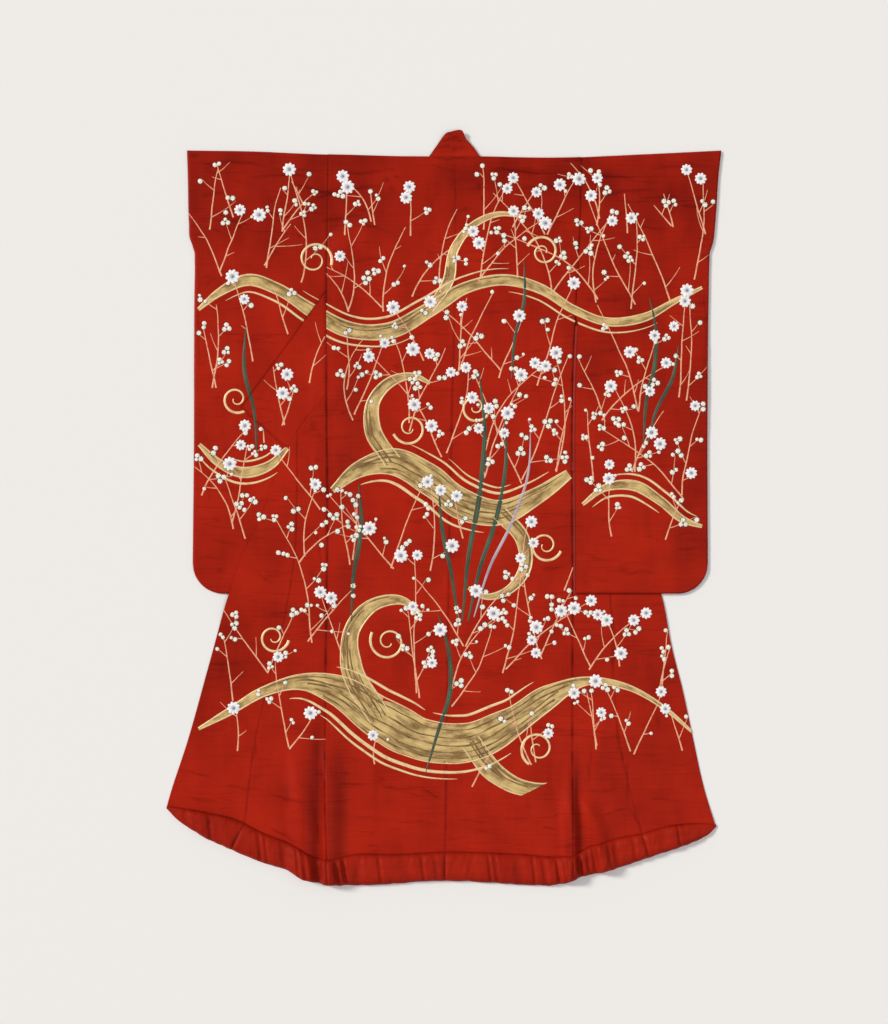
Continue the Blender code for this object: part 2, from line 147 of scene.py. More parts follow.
# The fold along both shoulders: (across, down)
SHOULDER = curve([(-640, -15), (-458, -12), (-355, -7), (-253, -5), (-117, -1), (88, 0), (258, 2),
                  (394, -2), (497, -7), (660, -15)])


def soft_step(t):
    """0 below 0, 1 above 1, and a smooth rise between them."""
    t = np.clip(t, 0, 1)
    return t * t * (3 - 2 * t)


def crowded(t, share=0.72):
    """Moves even places between 0 and 1 towards both ends."""
    return t - share * np.sin(2 * np.pi * t) / (2 * np.pi)


def sleeve_bottom(edge, side):
    """The bottom of a sleeve, straight but for its round outer corner."""
    def at(across):
        outer = edge(SLEEVE_BOTTOM)
        from_corner = np.clip(SLEEVE_CORNER - (across - outer) * -side, 0, SLEEVE_CORNER)
        return SLEEVE_BOTTOM - SLEEVE_CORNER + np.sqrt(SLEEVE_CORNER ** 2 - from_corner ** 2)
    return at


def between(left, right, top, bottom):
    """Lays the unit square between four edges. Its columns crowd towards the seams."""
    def plan(u, v):
        u = crowded(u)
        across = np.zeros_like(u)
        for _ in range(40):
            down = (1 - v) * top(across) + v * bottom(across)
            across = (1 - u) * left(down) + u * right(down)
        return across, down
    return plan


def area_between(left, right, top, bottom, steps=16):
    """The outline of what lies between two lengthwise lines, from one height to another."""
    down = np.linspace(top, bottom, steps)
    near = np.column_stack((left(down), down))
    far = np.column_stack((right(down), down))
    return np.vstack((near, far[::-1]))


def distance_outside(area, across, down):
    """How far points lie outside an outline. It is 0 inside."""
    nearest = np.full(len(across), 1e9)
    crossings = np.zeros(len(across), int)
    for start, end in zip(area, np.roll(area, -1, axis=0)):
        along = end - start
        t = ((across - start[0]) * along[0] + (down - start[1]) * along[1]) / (along @ along)
        t = np.clip(t, 0, 1)
        away = np.hypot(across - start[0] - t * along[0], down - start[1] - t * along[1])
        nearest = np.minimum(nearest, away)
        if along[1] != 0:
            meets = start[0] + (down - start[1]) * along[0] / along[1]
            crossings += ((start[1] > down) != (end[1] > down)) & (across < meets)
    return np.where(crossings % 2 == 1, 0, nearest)


# Creases, pressed in where the garment was folded away and where its layers pull. Each is a soft
# trough with a ridge beside it and a thin line of painted shade in the trough: (from across, from
# down, to across, to down, half width, depth)
CREASES = [
    # left shoulder and sleeve
    (-610, 22, -420, 30, 6, 1.1), (-500, 52, -330, 44, 7, 1.3), (-395, 60, -235, 96, 6, 1.6),
    (-352, 112, -150, 70, 6, 1.5), (-330, 160, -196, 138, 5, 1.2), (-270, 40, -128, 24, 5, 1.1),
    (-172, 30, -136, 92, 4, 1.3), (-150, 22, -110, 70, 4, 1.1), (-232, 150, -140, 182, 5, 1.0),
    (-612, 98, -528, 88, 5, 0.8), (-470, 128, -352, 152, 6, 0.9), (-600, 176, -545, 190, 5, 0.9),
    (-618, 300, -560, 292, 4, 0.7), (-590, 420, -470, 436, 5, 0.8), (-620, 548, -520, 540, 4, 0.7),
    (-520, 700, -440, 716, 5, 0.7), (-612, 812, -500, 800, 5, 0.8), (-626, 981, -548, 977, 3, 1.1),
    (-590, 930, -500, 944, 4, 0.7), (-480, 1000, -420, 1040, 5, 0.8), (-560, 640, -540, 760, 7, 0.8),
    (-606, 262, -604, 560, 4, 0.8), (-606, 600, -608, 960, 4, 0.7),
    # left front
    (-338, 640, -306, 700, 12, 0.8), (-360, 700, -322, 800, 12, 0.8), (-430, 560, -372, 640, 12, 0.7),
    (-455, 590, -412, 640, 10, 0.6), (-345, 720, -306, 840, 6, 1.2), (-330, 900, -312, 1010, 5, 1.0),
    (-560, 1529, -445, 1541, 3, 1.3), (-450, 1546, -329, 1568, 3, 1.5),
    (-652, 1497, -579, 1509, 3, 1.3), (-640, 1560, -560, 1566, 3, 0.9),
    (-477, 1392, -480, 1480, 5, 1.0), (-445, 1629, -365, 1675, 4, 1.7),
    (-520, 1300, -420, 1316, 4, 0.7), (-392, 1230, -396, 1420, 8, 1.0),
    (-420, 1090, -330, 1106, 4, 0.7), (-500, 1180, -430, 1190, 4, 0.6),
    (-600, 1400, -540, 1392, 3, 0.8), (-404, 1430, -388, 1640, 9, 1.4), (-330, 1250, -334, 1400, 8, 1.5),
    # back
    (-292, 1526, -190, 1531, 3, 1.5), (-170, 1534, -75, 1539, 3, 1.4), (-75, 1539, -22, 1566, 3, 1.5),
    (-250, 1606, -150, 1612, 3, 0.9), (-140, 1618, -40, 1611, 3, 0.9), (-210, 1330, -120, 1338, 3, 0.7),
    (-285, 1000, -200, 1008, 4, 0.7), (-130, 886, -30, 880, 4, 0.7), (-286, 640, -170, 652, 4, 0.8),
    (-262, 256, -120, 240, 5, 1.0), (-110, 330, -10, 344, 4, 0.9), (-284, 388, -196, 402, 4, 0.8),
    (-288, 210, -240, 300, 5, 0.9), (-60, 60, -40, 200, 6, 0.8), (60, 40, 92, 150, 6, 0.9),
    (110, 26, 250, 40, 5, 1.0), (130, 92, 290, 72, 5, 0.9), (40, 250, 150, 262, 4, 0.8),
    (180, 330, 296, 318, 4, 0.8), (60, 520, 160, 512, 4, 0.7), (190, 690, 288, 700, 4, 0.8),
    (20, 862, 120, 868, 4, 0.7), (210, 1010, 290, 1000, 4, 0.8), (30, 1240, 120, 1250, 4, 0.7),
    (160, 1400, 270, 1392, 3, 0.8), (10, 1612, 110, 1624, 3, 1.0), (120, 1610, 210, 1604, 3, 1.0),
    (222, 1633, 262, 1640, 3, 1.4), (-20, 1660, 60, 1655, 3, 0.8), (246, 1430, 262, 1640, 9, 1.2),
    (-232, 1290, -228, 1480, 10, 1.4), (-180, 1450, -176, 1690, 9, 0.8), (200, 1520, 206, 1690, 8, 0.8),
    # right front
    (392, 1078, 396, 1298, 6, 1.2), (432, 1456, 436, 1590, 5, 1.2), (438, 1582, 472, 1687, 4, 1.3),
    (400, 1330, 412, 1470, 6, 1.0), (330, 1100, 372, 1112, 4, 0.8), (440, 1210, 520, 1202, 4, 0.7),
    (352, 1380, 330, 1560, 8, 1.6), (330, 1545, 420, 1533, 3, 1.0), (470, 1560, 560, 1572, 3, 0.9),
    (540, 1480, 600, 1474, 3, 0.8), (366, 1600, 438, 1578, 3, 1.3), (500, 1300, 506, 1420, 6, 0.8),
    # right sleeve
    (330, 40, 470, 52, 6, 1.2), (350, 104, 520, 84, 6, 1.1), (480, 30, 640, 20, 5, 0.9),
    (420, 160, 560, 178, 5, 0.9), (560, 120, 636, 132, 5, 0.9), (330, 216, 420, 240, 5, 1.1),
    (470, 300, 600, 290, 4, 0.8), (340, 480, 460, 470, 5, 0.8), (520, 560, 612, 570, 4, 0.7),
    (330, 640, 420, 652, 4, 0.7), (480, 760, 610, 748, 5, 0.8), (350, 880, 440, 892, 4, 0.7),
    (438, 1015, 506, 1013, 3, 1.2), (540, 960, 612, 950, 4, 0.8), (330, 1020, 400, 1032, 4, 0.8),
    (607, 270, 605, 600, 4, 0.7), (470, 820, 486, 960, 8, 0.8), (360, 700, 352, 860, 8, 0.8),
]
SLUB_SPACING = (20, 46)
SLUB_LENGTH = (50, 260)


def slubs():
    """Thick picks in the weft: short crosswise lines, unevenly spaced, over the whole cloth, each laid
    like the creases, with a thin line of painted shade.
    """
    rows = []
    level = 10.0
    while level < 1690:
        level += rng.uniform(*SLUB_SPACING)
        at = rng.uniform(-690, -560)
        while at < 640:
            length = rng.uniform(*SLUB_LENGTH)
            if rng.random() < 0.62:
                sink = rng.normal(0, 7)
                rows.append((at, level + sink, at + length, level + sink + rng.normal(0, 4),
                             rng.uniform(1.6, 2.8), rng.uniform(0.08, 0.36)))
            at += length + rng.uniform(10, 90)
    return rows


SLUBS = slubs()
# The soft swelling of laid cloth: (height in millimetres, cell across, cell down in metres, seed)
SWELLING = [(1.3, 0.11, 0.19, 3), (0.55, 0.045, 0.06, 5), (0.16, 0.05, 0.014, 9)]
# Soft zones of painted shade, darkest about the shoulders: (across, down, reach across, reach down,
# darkness)
SHADE_ZONES = [
    (20, -24, 60, 50, 0.42), (-285, 640, 40, 60, 0.1),
    (-560, 70, 230, 210, 0.42), (-250, 50, 250, 170, 0.42), (60, 40, 200, 140, 0.36),
    (330, 60, 240, 180, 0.42), (560, 80, 200, 170, 0.38), (130, 240, 70, 160, 0.22),
    (420, 330, 150, 260, 0.3), (600, 700, 70, 500, 0.3), (-590, 1200, 150, 200, 0.34),
    (-640, 30, 60, 600, 0.12), (560, 1300, 160, 300, 0.2), (-110, 1180, 150, 60, 0.1),
    (470, 1560, 140, 90, 0.16), (-330, 1650, 60, 160, 0.2), (250, 1120, 60, 160, 0.14),
    (-200, 180, 60, 120, 0.2),
]


def lattice(across, down, cell_across, cell_down, seed):
    """Smooth random swelling, between -1 and 1, on cells of the given size."""
    values = np.random.default_rng(seed).uniform(-1, 1, (200, 400))
    x, y = (across + 0.8) / cell_across, (down + 0.2) / cell_down
    i, j = np.floor(x).astype(int) % 199, np.floor(y).astype(int) % 399
    s, t = soft_step(x % 1), soft_step(y % 1)
    near = values[i, j] * (1 - s) + values[i + 1, j] * s
    far = values[i, j + 1] * (1 - s) + values[i + 1, j + 1] * s
    return near * (1 - t) + far * t


def relief(across, down):
    """How the laid cloth rises and sinks, and how much painted shade lies in its creases and soft darker
    zones, from 0 to 1.
    """
    height, painted_dimming, dark = np.zeros((3, len(across)))
    for rise, cell_across, cell_down, seed in SWELLING:
        height += rise * MM * lattice(across, down, cell_across, cell_down, seed)
    # Soft zones of painted shade
    for at_across, at_down, wide, high, darkness in np.array(SHADE_ZONES) * (MM, MM, MM, MM, 1):
        away = ((across - at_across) / wide) ** 2 + ((down - at_down) / high) ** 2
        painted_dimming = np.maximum(painted_dimming, darkness * np.exp(-away))
    for number, row in enumerate(CREASES + SLUBS):
        a0, d0, a1, d1, half_width, depth = np.array(row) * MM
        run = np.array([a1 - a0, d1 - d0])
        length = np.hypot(*run)
        reach = 5 * half_width + 4 * MM
        near = ((across > min(a0, a1) - reach) & (across < max(a0, a1) + reach)
                & (down > min(d0, d1) - reach) & (down < max(d0, d1) + reach))
        x, y = across[near] - a0, down[near] - d0
        t = (x * run[0] + y * run[1]) / length ** 2
        bow = ((number * 37) % 11 - 5) * 0.012 * length
        waver = 1.2 * MM * np.sin(t * length / (9 * MM) + number)
        aside = (x * -run[1] + y * run[0]) / length - bow * np.sin(np.pi * np.clip(t, 0, 1)) + waver
        fade = soft_step(t / 0.3) * soft_step((1 - t) / 0.4)
        trough = np.exp(-(aside / half_width) ** 2) * fade
        ridge = np.exp(-((aside + 2.1 * half_width) / (1.3 * half_width)) ** 2) * fade
        height[near] += depth * (0.75 * ridge - 0.6 * trough)
        # Thin lines of painted shade along the troughs of the creases and slubs
        line = np.exp(-(aside / (0.3 * half_width + 1.1 * MM)) ** 2) * fade
        strength = min(0.8, 0.06 + 0.52 * depth / MM) * min(1, (6 * MM / half_width) ** 2)
        dark[near] = np.maximum(dark[near], line * strength)
    return height, 0.7 * dark + painted_dimming * (1.1 + 0.5 * lattice(across, down, 0.07, 0.05, 13))


def shallow(waves):
    """Waves of the cloth, which sink at most half a millimetre below its base."""
    return np.where(waves > 0, waves, -0.5 * MM * np.tanh(-waves / (0.5 * MM)))


def add_node(tree, kind, **values):
    """A new shader node with its sockets set by their names."""
    return set_sockets(tree.nodes.new(kind), **values)


def by_cut(tree):
    """Where a point lies on the cut of its piece."""
    cut = add_node(tree, "ShaderNodeUVMap")
    cut.uv_map = "cut"
    return cut.outputs["UV"]


def uneven(tree, scale, detail, rough):
    """A noise that is stretched along or across the cut of the piece."""
    place = add_node(tree, "ShaderNodeMapping", Scale=scale)
    noise = add_node(tree, "ShaderNodeTexNoise", Scale=1, Detail=detail, Roughness=rough)
    tree.links.new(by_cut(tree), place.inputs["Vector"])
    tree.links.new(place.outputs["Vector"], noise.inputs["Vector"])
    return noise.outputs["Fac"]


def ranged(tree, value, low, high, to_low, to_high):
    """A value brought from one range to another."""
    fit = add_node(tree, "ShaderNodeMapRange", From_Min=low, From_Max=high, To_Min=to_low,
                   To_Max=to_high)
    tree.links.new(value, fit.inputs["Value"])
    return fit.outputs["Result"]


def reckon(tree, operation, first, second=None, number=0.0):
    """Two values, or a value and a number, reckoned together."""
    step = tree.nodes.new("ShaderNodeMath")
    step.operation = operation
    step.inputs[1].default_value = number
    tree.links.new(first, step.inputs[0])
    if second:
        tree.links.new(second, step.inputs[1])
    return step.outputs[0]


def colour_mix(tree, kind="MIX"):
    """A node that mixes two colours, with its colour sockets."""
    mix = tree.nodes.new("ShaderNodeMix")
    mix.data_type, mix.blend_type = "RGBA", kind
    first, second = [socket for socket in mix.inputs if socket.type == "RGBA"]
    return mix, first, second, [socket for socket in mix.outputs if socket.type == "RGBA"][0]


def tinted(tree, share, light, dark):
    """Goes from a light colour to a dark one by a share."""
    mix, first, second, result = colour_mix(tree)
    tree.links.new(share, mix.inputs[0])
    first.default_value, second.default_value = (*light, 1), (*dark, 1)
    return result


def raise_grain(tree, grain, strength, distance):
    """Raises the surface by a grain."""
    bump = add_node(tree, "ShaderNodeBump", Strength=strength, Distance=distance)
    tree.links.new(grain, bump.inputs["Height"])
    tree.links.new(bump.outputs["Normal"], tree.nodes["Principled BSDF"].inputs["Normal"])


def silk(name, colour, shade, roughness=0.46, streak=0.13, wrinkle=(3, 30, 1)):
    """Plain-woven silk: weft streaks, thin wrinkles, a fine grain, and painted shade along the wrinkles
    and wherever the mesh carries painted shade in its creases, seams and folds.
    """
    material, tree, shader = new_material(name)
    streaks = uneven(tree, (9, 170, 1), 3, 0.55)
    thin_streaks = uneven(tree, (26, 620, 1), 2, 0.5)
    painted_shade = tree.nodes.new("ShaderNodeAttribute")
    painted_shade.attribute_name = "painted_shade"
    # The thin wrinkles run where a stretched noise crosses its middle value. They are bumped, and their
    # lines are darkened as painted shade.
    crossing = reckon(tree, "SUBTRACT", uneven(tree, wrinkle, 2, 0.5), number=0.5)
    wrinkles = reckon(tree, "MULTIPLY",
                      ranged(tree, reckon(tree, "ABSOLUTE", crossing), 0.002, 0.02, 1, 0),
                      ranged(tree, uneven(tree, (6, 16, 1), 1, 0.5), 0.47, 0.6, 0, 1))
    # Darker tone: weft streaks and mottling of the silk itself, plus painted shade along the wrinkles and
    # in creases, seams and folds
    tone = ranged(tree, streaks, 0.35, 0.75, 0, streak)
    for value, low, high, to_low, to_high in (
            (thin_streaks, 0.4, 0.7, 0, 0.06),
            (uneven(tree, (11, 7, 1), 2, 0.6), 0.3, 0.7, -0.13, 0.21),
            (uneven(tree, (330, 7, 1), 2, 0.5), 0.4, 0.7, 0, 0.07),
            (wrinkles, 0, 1, 0, 0.24), (painted_shade.outputs["Fac"], 0, 1, 0, 0.85)):
        tone = reckon(tree, "ADD", tone, ranged(tree, value, low, high, to_low, to_high))
    tree.links.new(tinted(tree, tone, colour, shade), shader.inputs["Base Color"])
    tree.links.new(ranged(tree, streaks, 0.3, 0.7, roughness - 0.07, roughness + 0.1),
                   shader.inputs["Roughness"])
    grain = reckon(tree, "ADD", ranged(tree, thin_streaks, 0, 1, 0, 0.6),
                   ranged(tree, uneven(tree, (1500, 1500, 1), 1, 0.5), 0, 1, 0, 0.5))
    raise_grain(tree, reckon(tree, "SUBTRACT", grain, wrinkles), 0.5, 0.0004)
    set_sockets(shader, Specular_IOR_Level=0.06, Sheen_Weight=0.05, Sheen_Roughness=0.35,
                Sheen_Tint=(1, 0.3, 0.18, 1))
    return material


# The second colour is the dark end that both the silk's own streaks and its painted shade mix towards
red_silk = silk("Red silk", (0.41, 0.0150, 0.0036), (0.13, 0.0028, 0.0010))


def mark_cut(data, places):
    """Marks on a mesh where each point lies on the cut of the piece."""
    corner = np.empty(len(data.loops), np.int32)
    data.loops.foreach_get("vertex_index", corner)
    data.uv_layers.new(name="cut").data.foreach_set("uv", places[corner].ravel())


def lay_mesh(name, data, place, painted_shade, wall, material):
    """Puts a mesh in its place, marks its cut and its painted shade on it, and gives it its wall."""
    across, down, height = place
    data.vertices.foreach_set("co", np.column_stack(
        (across + ACROSS_AT_ORIGIN, DOWN_AT_ORIGIN - down, height)).ravel())
    mark_cut(data, np.column_stack((across, -down)))
    # The painted shade of creases, seams, folds and edges, kept on the points for the silk
    data.attributes.new("painted_shade", "FLOAT", "POINT").data.foreach_set("value", painted_shade)
    data.materials.append(material)
    data.update()
    piece = added(name, data)
    bpy.ops.object.select_all(action="DESELECT")
    bpy.context.view_layer.objects.active = piece
    piece.select_set(True)
    if wall:
        turned = piece.modifiers.new("Wall", "SOLIDIFY")
        turned.thickness = wall
        turned.offset = -1
        bpy.ops.object.modifier_apply(modifier=turned.name)
    bpy.ops.object.shade_smooth_by_angle(angle=math.radians(60))
    return piece


def stands_for(piece, node):
    """A piece takes the place of one solid, in the one body."""
    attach(piece, "root")
    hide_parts(node)


def unit_mesh(name, columns, rows, doubled=False, is_open=None):
    """A mesh over the unit square, in one layer or in two joined all round, and its points."""
    grid = bmesh.new()
    bmesh.ops.create_grid(grid, x_segments=columns, y_segments=rows, size=0.5)
    if doubled:
        bmesh.ops.translate(grid, verts=grid.verts, vec=(0.5, 0.5, 0))
        for point in bmesh.ops.extrude_face_region(grid, geom=list(grid.faces))["geom"]:
            if isinstance(point, bmesh.types.BMVert):
                point.co.z = 1
        bmesh.ops.recalc_face_normals(grid, faces=grid.faces)
    if is_open:
        around = [face for face in grid.faces if abs(face.normal.z) < 0.5]
        bmesh.ops.delete(grid, geom=[face for face in around if is_open(face.calc_center_median())],
                         context="FACES_ONLY")
    bmesh.ops.reverse_faces(grid, faces=grid.faces)
    data = bpy.data.meshes.new(name)
    grid.to_mesh(data)
    grid.free()
    unit = np.empty(len(data.vertices) * 3)
    data.vertices.foreach_get("co", unit)
    return data, unit.reshape(-1, 3) + (0 if doubled else 0.5)


def bag(name, plan, low, depth, side, columns, rows):
    """A flattened sleeve: two layers joined round their edge, but not at wrist and body."""
    def is_open(middle):
        outward = middle.x * side + (side < 0)
        if not 0.001 < middle.y < 0.999:
            return False
        down = plan(np.array([middle.x]), np.array([middle.y]))[1][0]
        return outward < 0.001 or (outward > 0.999 and down < WRIST_OPENING)

    data, unit = unit_mesh(name, columns, rows, True, is_open)
    across, down = plan(unit[:, 0], unit[:, 1])
    floor_side = low(across, down)
    full = depth(across, down)
    round_edge = distance_inside(unit, across, down, plan, side)
    waves, dark = relief(across, down)
    waves = shallow(waves) * uncovered(name, across, down)
    upper = floor_side + full * (0.5 + 0.5 * round_edge) + waves
    lower = floor_side + full * (0.5 - 0.5 * round_edge)
    height = np.where(unit[:, 2] > 0.5, upper, lower)
    # Painted shade along the sleeve's rounded sewn edge, where it turns down to the floor
    dark = np.maximum(dark, 0.7 * (1 - round_edge))
    # On the left sleeve, painted shade along its body side, in the seam under the back
    if side < 0:
        body_side = plan(np.ones(len(unit)), unit[:, 1])[0]
        dark = np.maximum(dark, 0.7 * np.exp(-((across - body_side) / (3 * MM)) ** 2))
    return lay_mesh(name + "_silk", data, (across, down, height), dark * (unit[:, 2] > 0.5),
                    SLEEVE_SILK, red_silk)


def distance_inside(unit, across, down, plan, side):
    """How round a sleeve's sewn edge is: 0 on it, and 1 from some millimetres inside it."""
    outer = plan(np.full(len(unit), 1.0 if side > 0 else 0.0), unit[:, 1])[0]
    top = plan(unit[:, 0], np.zeros(len(unit)))[1]
    bottom = plan(unit[:, 0], np.ones(len(unit)))[1]
    inside = np.minimum(np.minimum(np.abs(across - outer), down - top), bottom - down)
    t = np.clip(inside / ROUND_EDGE, 0, 1)
    return 0.12 + 0.88 * np.sqrt(1 - (1 - t) ** 2)


# What lies on each piece, so that its own creases are pressed flat there
COVERS = {
    "sleeve_left": np.array([(-290, 280), (-304, 329), (-402, 464), (-509, 611), (-402, 706),
                             (-426, 774), (-463, 884), (-538, 1064), (-290, 1075)]) * MM,
}


def uncovered(name, across, down):
    """1 where a piece shows, sinking to 0 where another one lies on it."""
    if name not in COVERS:
        return np.ones_like(across)
    return soft_step((distance_outside(COVERS[name], across, down) - 2 * MM) / (22 * MM))


def sewn_depth(seam, sewn_to):
    """A sleeve is flat at the seam to the body, and full elsewhere."""
    def at(across, down):
        beside = np.hypot(across - seam(down), np.maximum(down - sewn_to, 0))
        return DEPTH_AT_SEAM + (SLEEVE_DEPTH - DEPTH_AT_SEAM) * soft_step(beside / FULL_DEPTH_FROM)
    return at


sleeve_left = bag("sleeve_left", between(SLEEVE_LEFT, SIDE_LEFT, SHOULDER,
                                         sleeve_bottom(SLEEVE_LEFT, -1)),
                  lambda across, down: 0 * across, sewn_depth(SIDE_LEFT, 430 * MM), -1, 44, 270)
stands_for(sleeve_left, "sleeve_left")


# The left front and its overlap: two long panels of the same silk, seamed lengthwise. They lie
# over the left sleeve, and the upper end of the front runs on under the back to the neck.
SEAM_GAP = 0.05 * MM
LOOSE_FROM = 505 * MM
LIFT_MARGIN = 16 * MM
LIFT_RAMP = 80 * MM
CROSSING = 565 * MM
OVERLAP_START = 665 * MM
SIDE_SEAM_START = 762 * MM
OVERLAP_LEFT = curve([(665, -372), (835, -372), (980, -379), (1110, -400), (1237, -431),
                      (1412, -473), (1619, -500)])
EDGE_LEFT = curve([(706, -402), (774, -426), (884, -463), (962, -502), (1064, -538), (1244, -589),
                   (1419, -638), (1565, -685), (1580, -689)])
HIDDEN_LEFT = curve([(0, -50), (200, -110), (480, -222), (665, -284), (762, -300)])
# The seam above the wadded hem: (across, down)
HEM_SEAM = curve([(-689, 1580), (-592, 1595), (-511, 1616), (-470, 1638), (-368, 1680),
                  (-326, 1703), (-299, 1708), (-236, 1698), (-122, 1697), (-12, 1691), (173, 1697),
                  (273, 1702), (298, 1698), (346, 1675), (407, 1658), (467, 1646), (528, 1629),
                  (592, 1622), (646, 1624)])
# Large folds that stand off the floor: (from across, from down, to across, to down, width on the
# left, width on the right, height)
FOLDS = [
    (-364, 1390, -354, 1790, 46, 42, 12),
    (-302, 1370, -299, 1800, 20, 56, 14),
    (291, 1450, 296, 1780, 30, 24, 11),
    (324, 1540, 364, 1700, 18, 44, 11),
]


def side_by_side(first, second, split):
    """One edge that follows the first line above a height, and the second line below it."""
    return lambda down: np.where(down < split, first(down), second(down))


def straight(start, end):
    """A straight edge between two (across, down) points, read by its distance down."""
    rows = np.array([start, end]) * MM
    return lambda down: np.interp(down, rows[:, 1], rows[:, 0])


def slanted_top(start, end):
    """The short slanted top of an overlap, read by its distance across."""
    rows = np.array([start, end]) * MM
    return lambda across: np.interp(across, rows[:, 0], rows[:, 1])


def folds(across, down):
    """The height of the large folds: each is a round ridge along a straight line."""
    height = np.zeros_like(across)
    for from_across, from_down, to_across, to_down, left, right, top in np.array(FOLDS) * MM:
        t = (down - from_down) / (to_down - from_down)
        aside = across - from_across - (to_across - from_across) * t
        aside = aside + 2 * MM * np.sin(down / (38 * MM) + top / MM)
        width = np.where(aside < 0, left, right)
        round_top = np.clip(1 - (aside / width) ** 2, 0, 1) ** 2
        height = np.maximum(height, top * round_top * soft_step(t / 0.45))
    return height


# Painted shade in the deep troughs between them: (from across, from down, to across, to down, half width,
# darkness)
TROUGHS = [
    (-319, 1300, -323, 1780, 18, 0.98),
    (-278, 1370, -278, 1770, 20, 0.48),
    (-410, 1470, -404, 1700, 14, 0.2),
    (303, 1380, 312, 1760, 14, 0.6),
    (284, 1570, 288, 1770, 11, 0.5),
    (341, 1560, 345, 1760, 12, 0.28),
    (388, 1570, 404, 1710, 12, 0.12),
]


def trough_shade(across, down):
    """How much painted shade lies in the troughs between the large folds, from 0 to 1."""
    deep = np.zeros_like(across)
    for a0, d0, a1, d1, half_width, darkness in TROUGHS:
        t = (down / MM - d0) / (d1 - d0)
        aside = (across / MM - a0 - (a1 - a0) * t) / half_width
        deep = np.maximum(deep, 0.7 * darkness * np.exp(-aside ** 2) * soft_step(t / 0.3))
    return deep


def lift(area, height, across, down, margin=LIFT_MARGIN):
    """The height that cloth keeps over an area, sinking softly beside it."""
    return height * soft_step(1 - (distance_outside(area, across, down) - margin) / LIFT_RAMP)


SPRING = 1.12
COLLAR_HOLDS = 60 * MM
LOOSE_SLEEVE = area_between(SLEEVE_LEFT, SIDE_LEFT, LOOSE_FROM, SLEEVE_BOTTOM)
HIDDEN_FRONT_LEFT = area_between(SIDE_LEFT, HIDDEN_LEFT, 0, SIDE_SEAM_START)
COLLAR_SEAM_DOWN = slanted_top((-402, 706), (-299, 565))


def over_left_sleeve(across, down):
    """The height that the left front and the back are held up to by the sleeve and the folds."""
    lifted = lift(LOOSE_SLEEVE, SLEEVE_DEPTH + LAYER_GAP, across, down)
    return np.maximum(lifted, folds(across, down))


def front_left_height(across, down):
    """The front keeps the collar's height along the seam to it, and sinks softly away from it."""
    height = over_left_sleeve(across, down)
    beside = np.abs(down - COLLAR_SEAM_DOWN(across))
    raised = lift(HIDDEN_FRONT_LEFT, (SPRING - 1) * height + CLOTH + LAYER_GAP, across, down)
    return height + raised * soft_step(1 - beside / COLLAR_HOLDS)


SEAM_SHADE = 2.2 * MM
# Lengthwise seams that show, with the height they start at and the side they are pressed to
SEAMS = [
    (SIDE_LEFT, -20, 1, 1.0), (OVERLAP_LEFT, 665, 1, 0.55),
]


def seam_relief(across, down):
    """The groove along each seam, the ridge where its allowance is pressed to one side, and painted shade
    in the groove.
    """
    height, dark = np.zeros_like(across), np.zeros_like(across)
    for line, starts, side, share in SEAMS:
        aside = (across - line(down)) * side
        shows = share * soft_step((down - starts * MM) / (30 * MM))
        fullness = 0.8 + 0.35 * lattice(across * 0, down, 0.05, 0.021, 21)
        groove = np.exp(-(aside / ((1.6 + 2.2 * share) * MM)) ** 2) * shows
        ridge = np.exp(-((aside - 6 * MM) / (3.6 * MM)) ** 2) * shows * fullness
        height += 0.9 * MM * ridge - 0.5 * MM * groove
        # Painted shade in the seam's groove
        dark = np.maximum(dark, groove * fullness)
    return height, dark


def edge_shade(plan, u, v, sides):
    """How much painted shade a piece has near its sides, from the darkness of its left, right, top and
    bottom.
    """
    across, down = plan(u, v)
    shade = np.zeros_like(u)
    for darkness, on_side in zip(sides, ((0 * u, v), (0 * u + 1, v), (u, 0 * v), (u, 0 * v + 1))):
        if darkness:
            side = plan(*on_side)
            aside = np.hypot(across - side[0], down - side[1])
            shade = np.maximum(shade, darkness * np.exp(-(aside / SEAM_SHADE) ** 2))
    return shade


# The painted shade in the seams and folds at a piece's left, right, top and bottom
SEWN = 0.42
PANEL_SIDES = (SEWN, SEWN, 0, SEWN)
FRONT_LEFT_SIDES = (SEWN, SEWN, SEWN, SEWN)
OVERLAP_LEFT_SIDES = (0, SEWN, SEWN, SEWN)
COLLAR_SIDES = (0.5, 0, 0.85, 0)
BACK_LEFT_SIDES = (0.95, SEWN, 0, SEWN)
BACK_RIGHT_SIDES = (SEWN, 0.7, 0, SEWN)


def cloth(name, plan, under, columns, rows, wall=CLOTH, material=red_silk, sides=PANEL_SIDES):
    """A panel as it lies: its upper side on the form below it, with its seams and creases, and painted
    shade in them.
    """
    data, unit = unit_mesh(name, columns, rows)
    across, down = plan(unit[:, 0], unit[:, 1])
    shows = uncovered(name, across, down)
    waves, dark = relief(across, down)
    seam, seam_dark = seam_relief(across, down)
    waves = shallow((waves + seam) * shows)
    height = under(across, down) + wall + waves + 0.3 * folds(across, down) * shows
    # Painted shade in creases and soft zones, seam grooves, fold troughs and along the piece's sides
    dark = np.max((dark * shows, seam_dark, trough_shade(across, down),
                   edge_shade(plan, unit[:, 0], unit[:, 1], sides)), axis=0)
    return lay_mesh(name + "_silk", data, (across, down, height), dark, SILK, material)


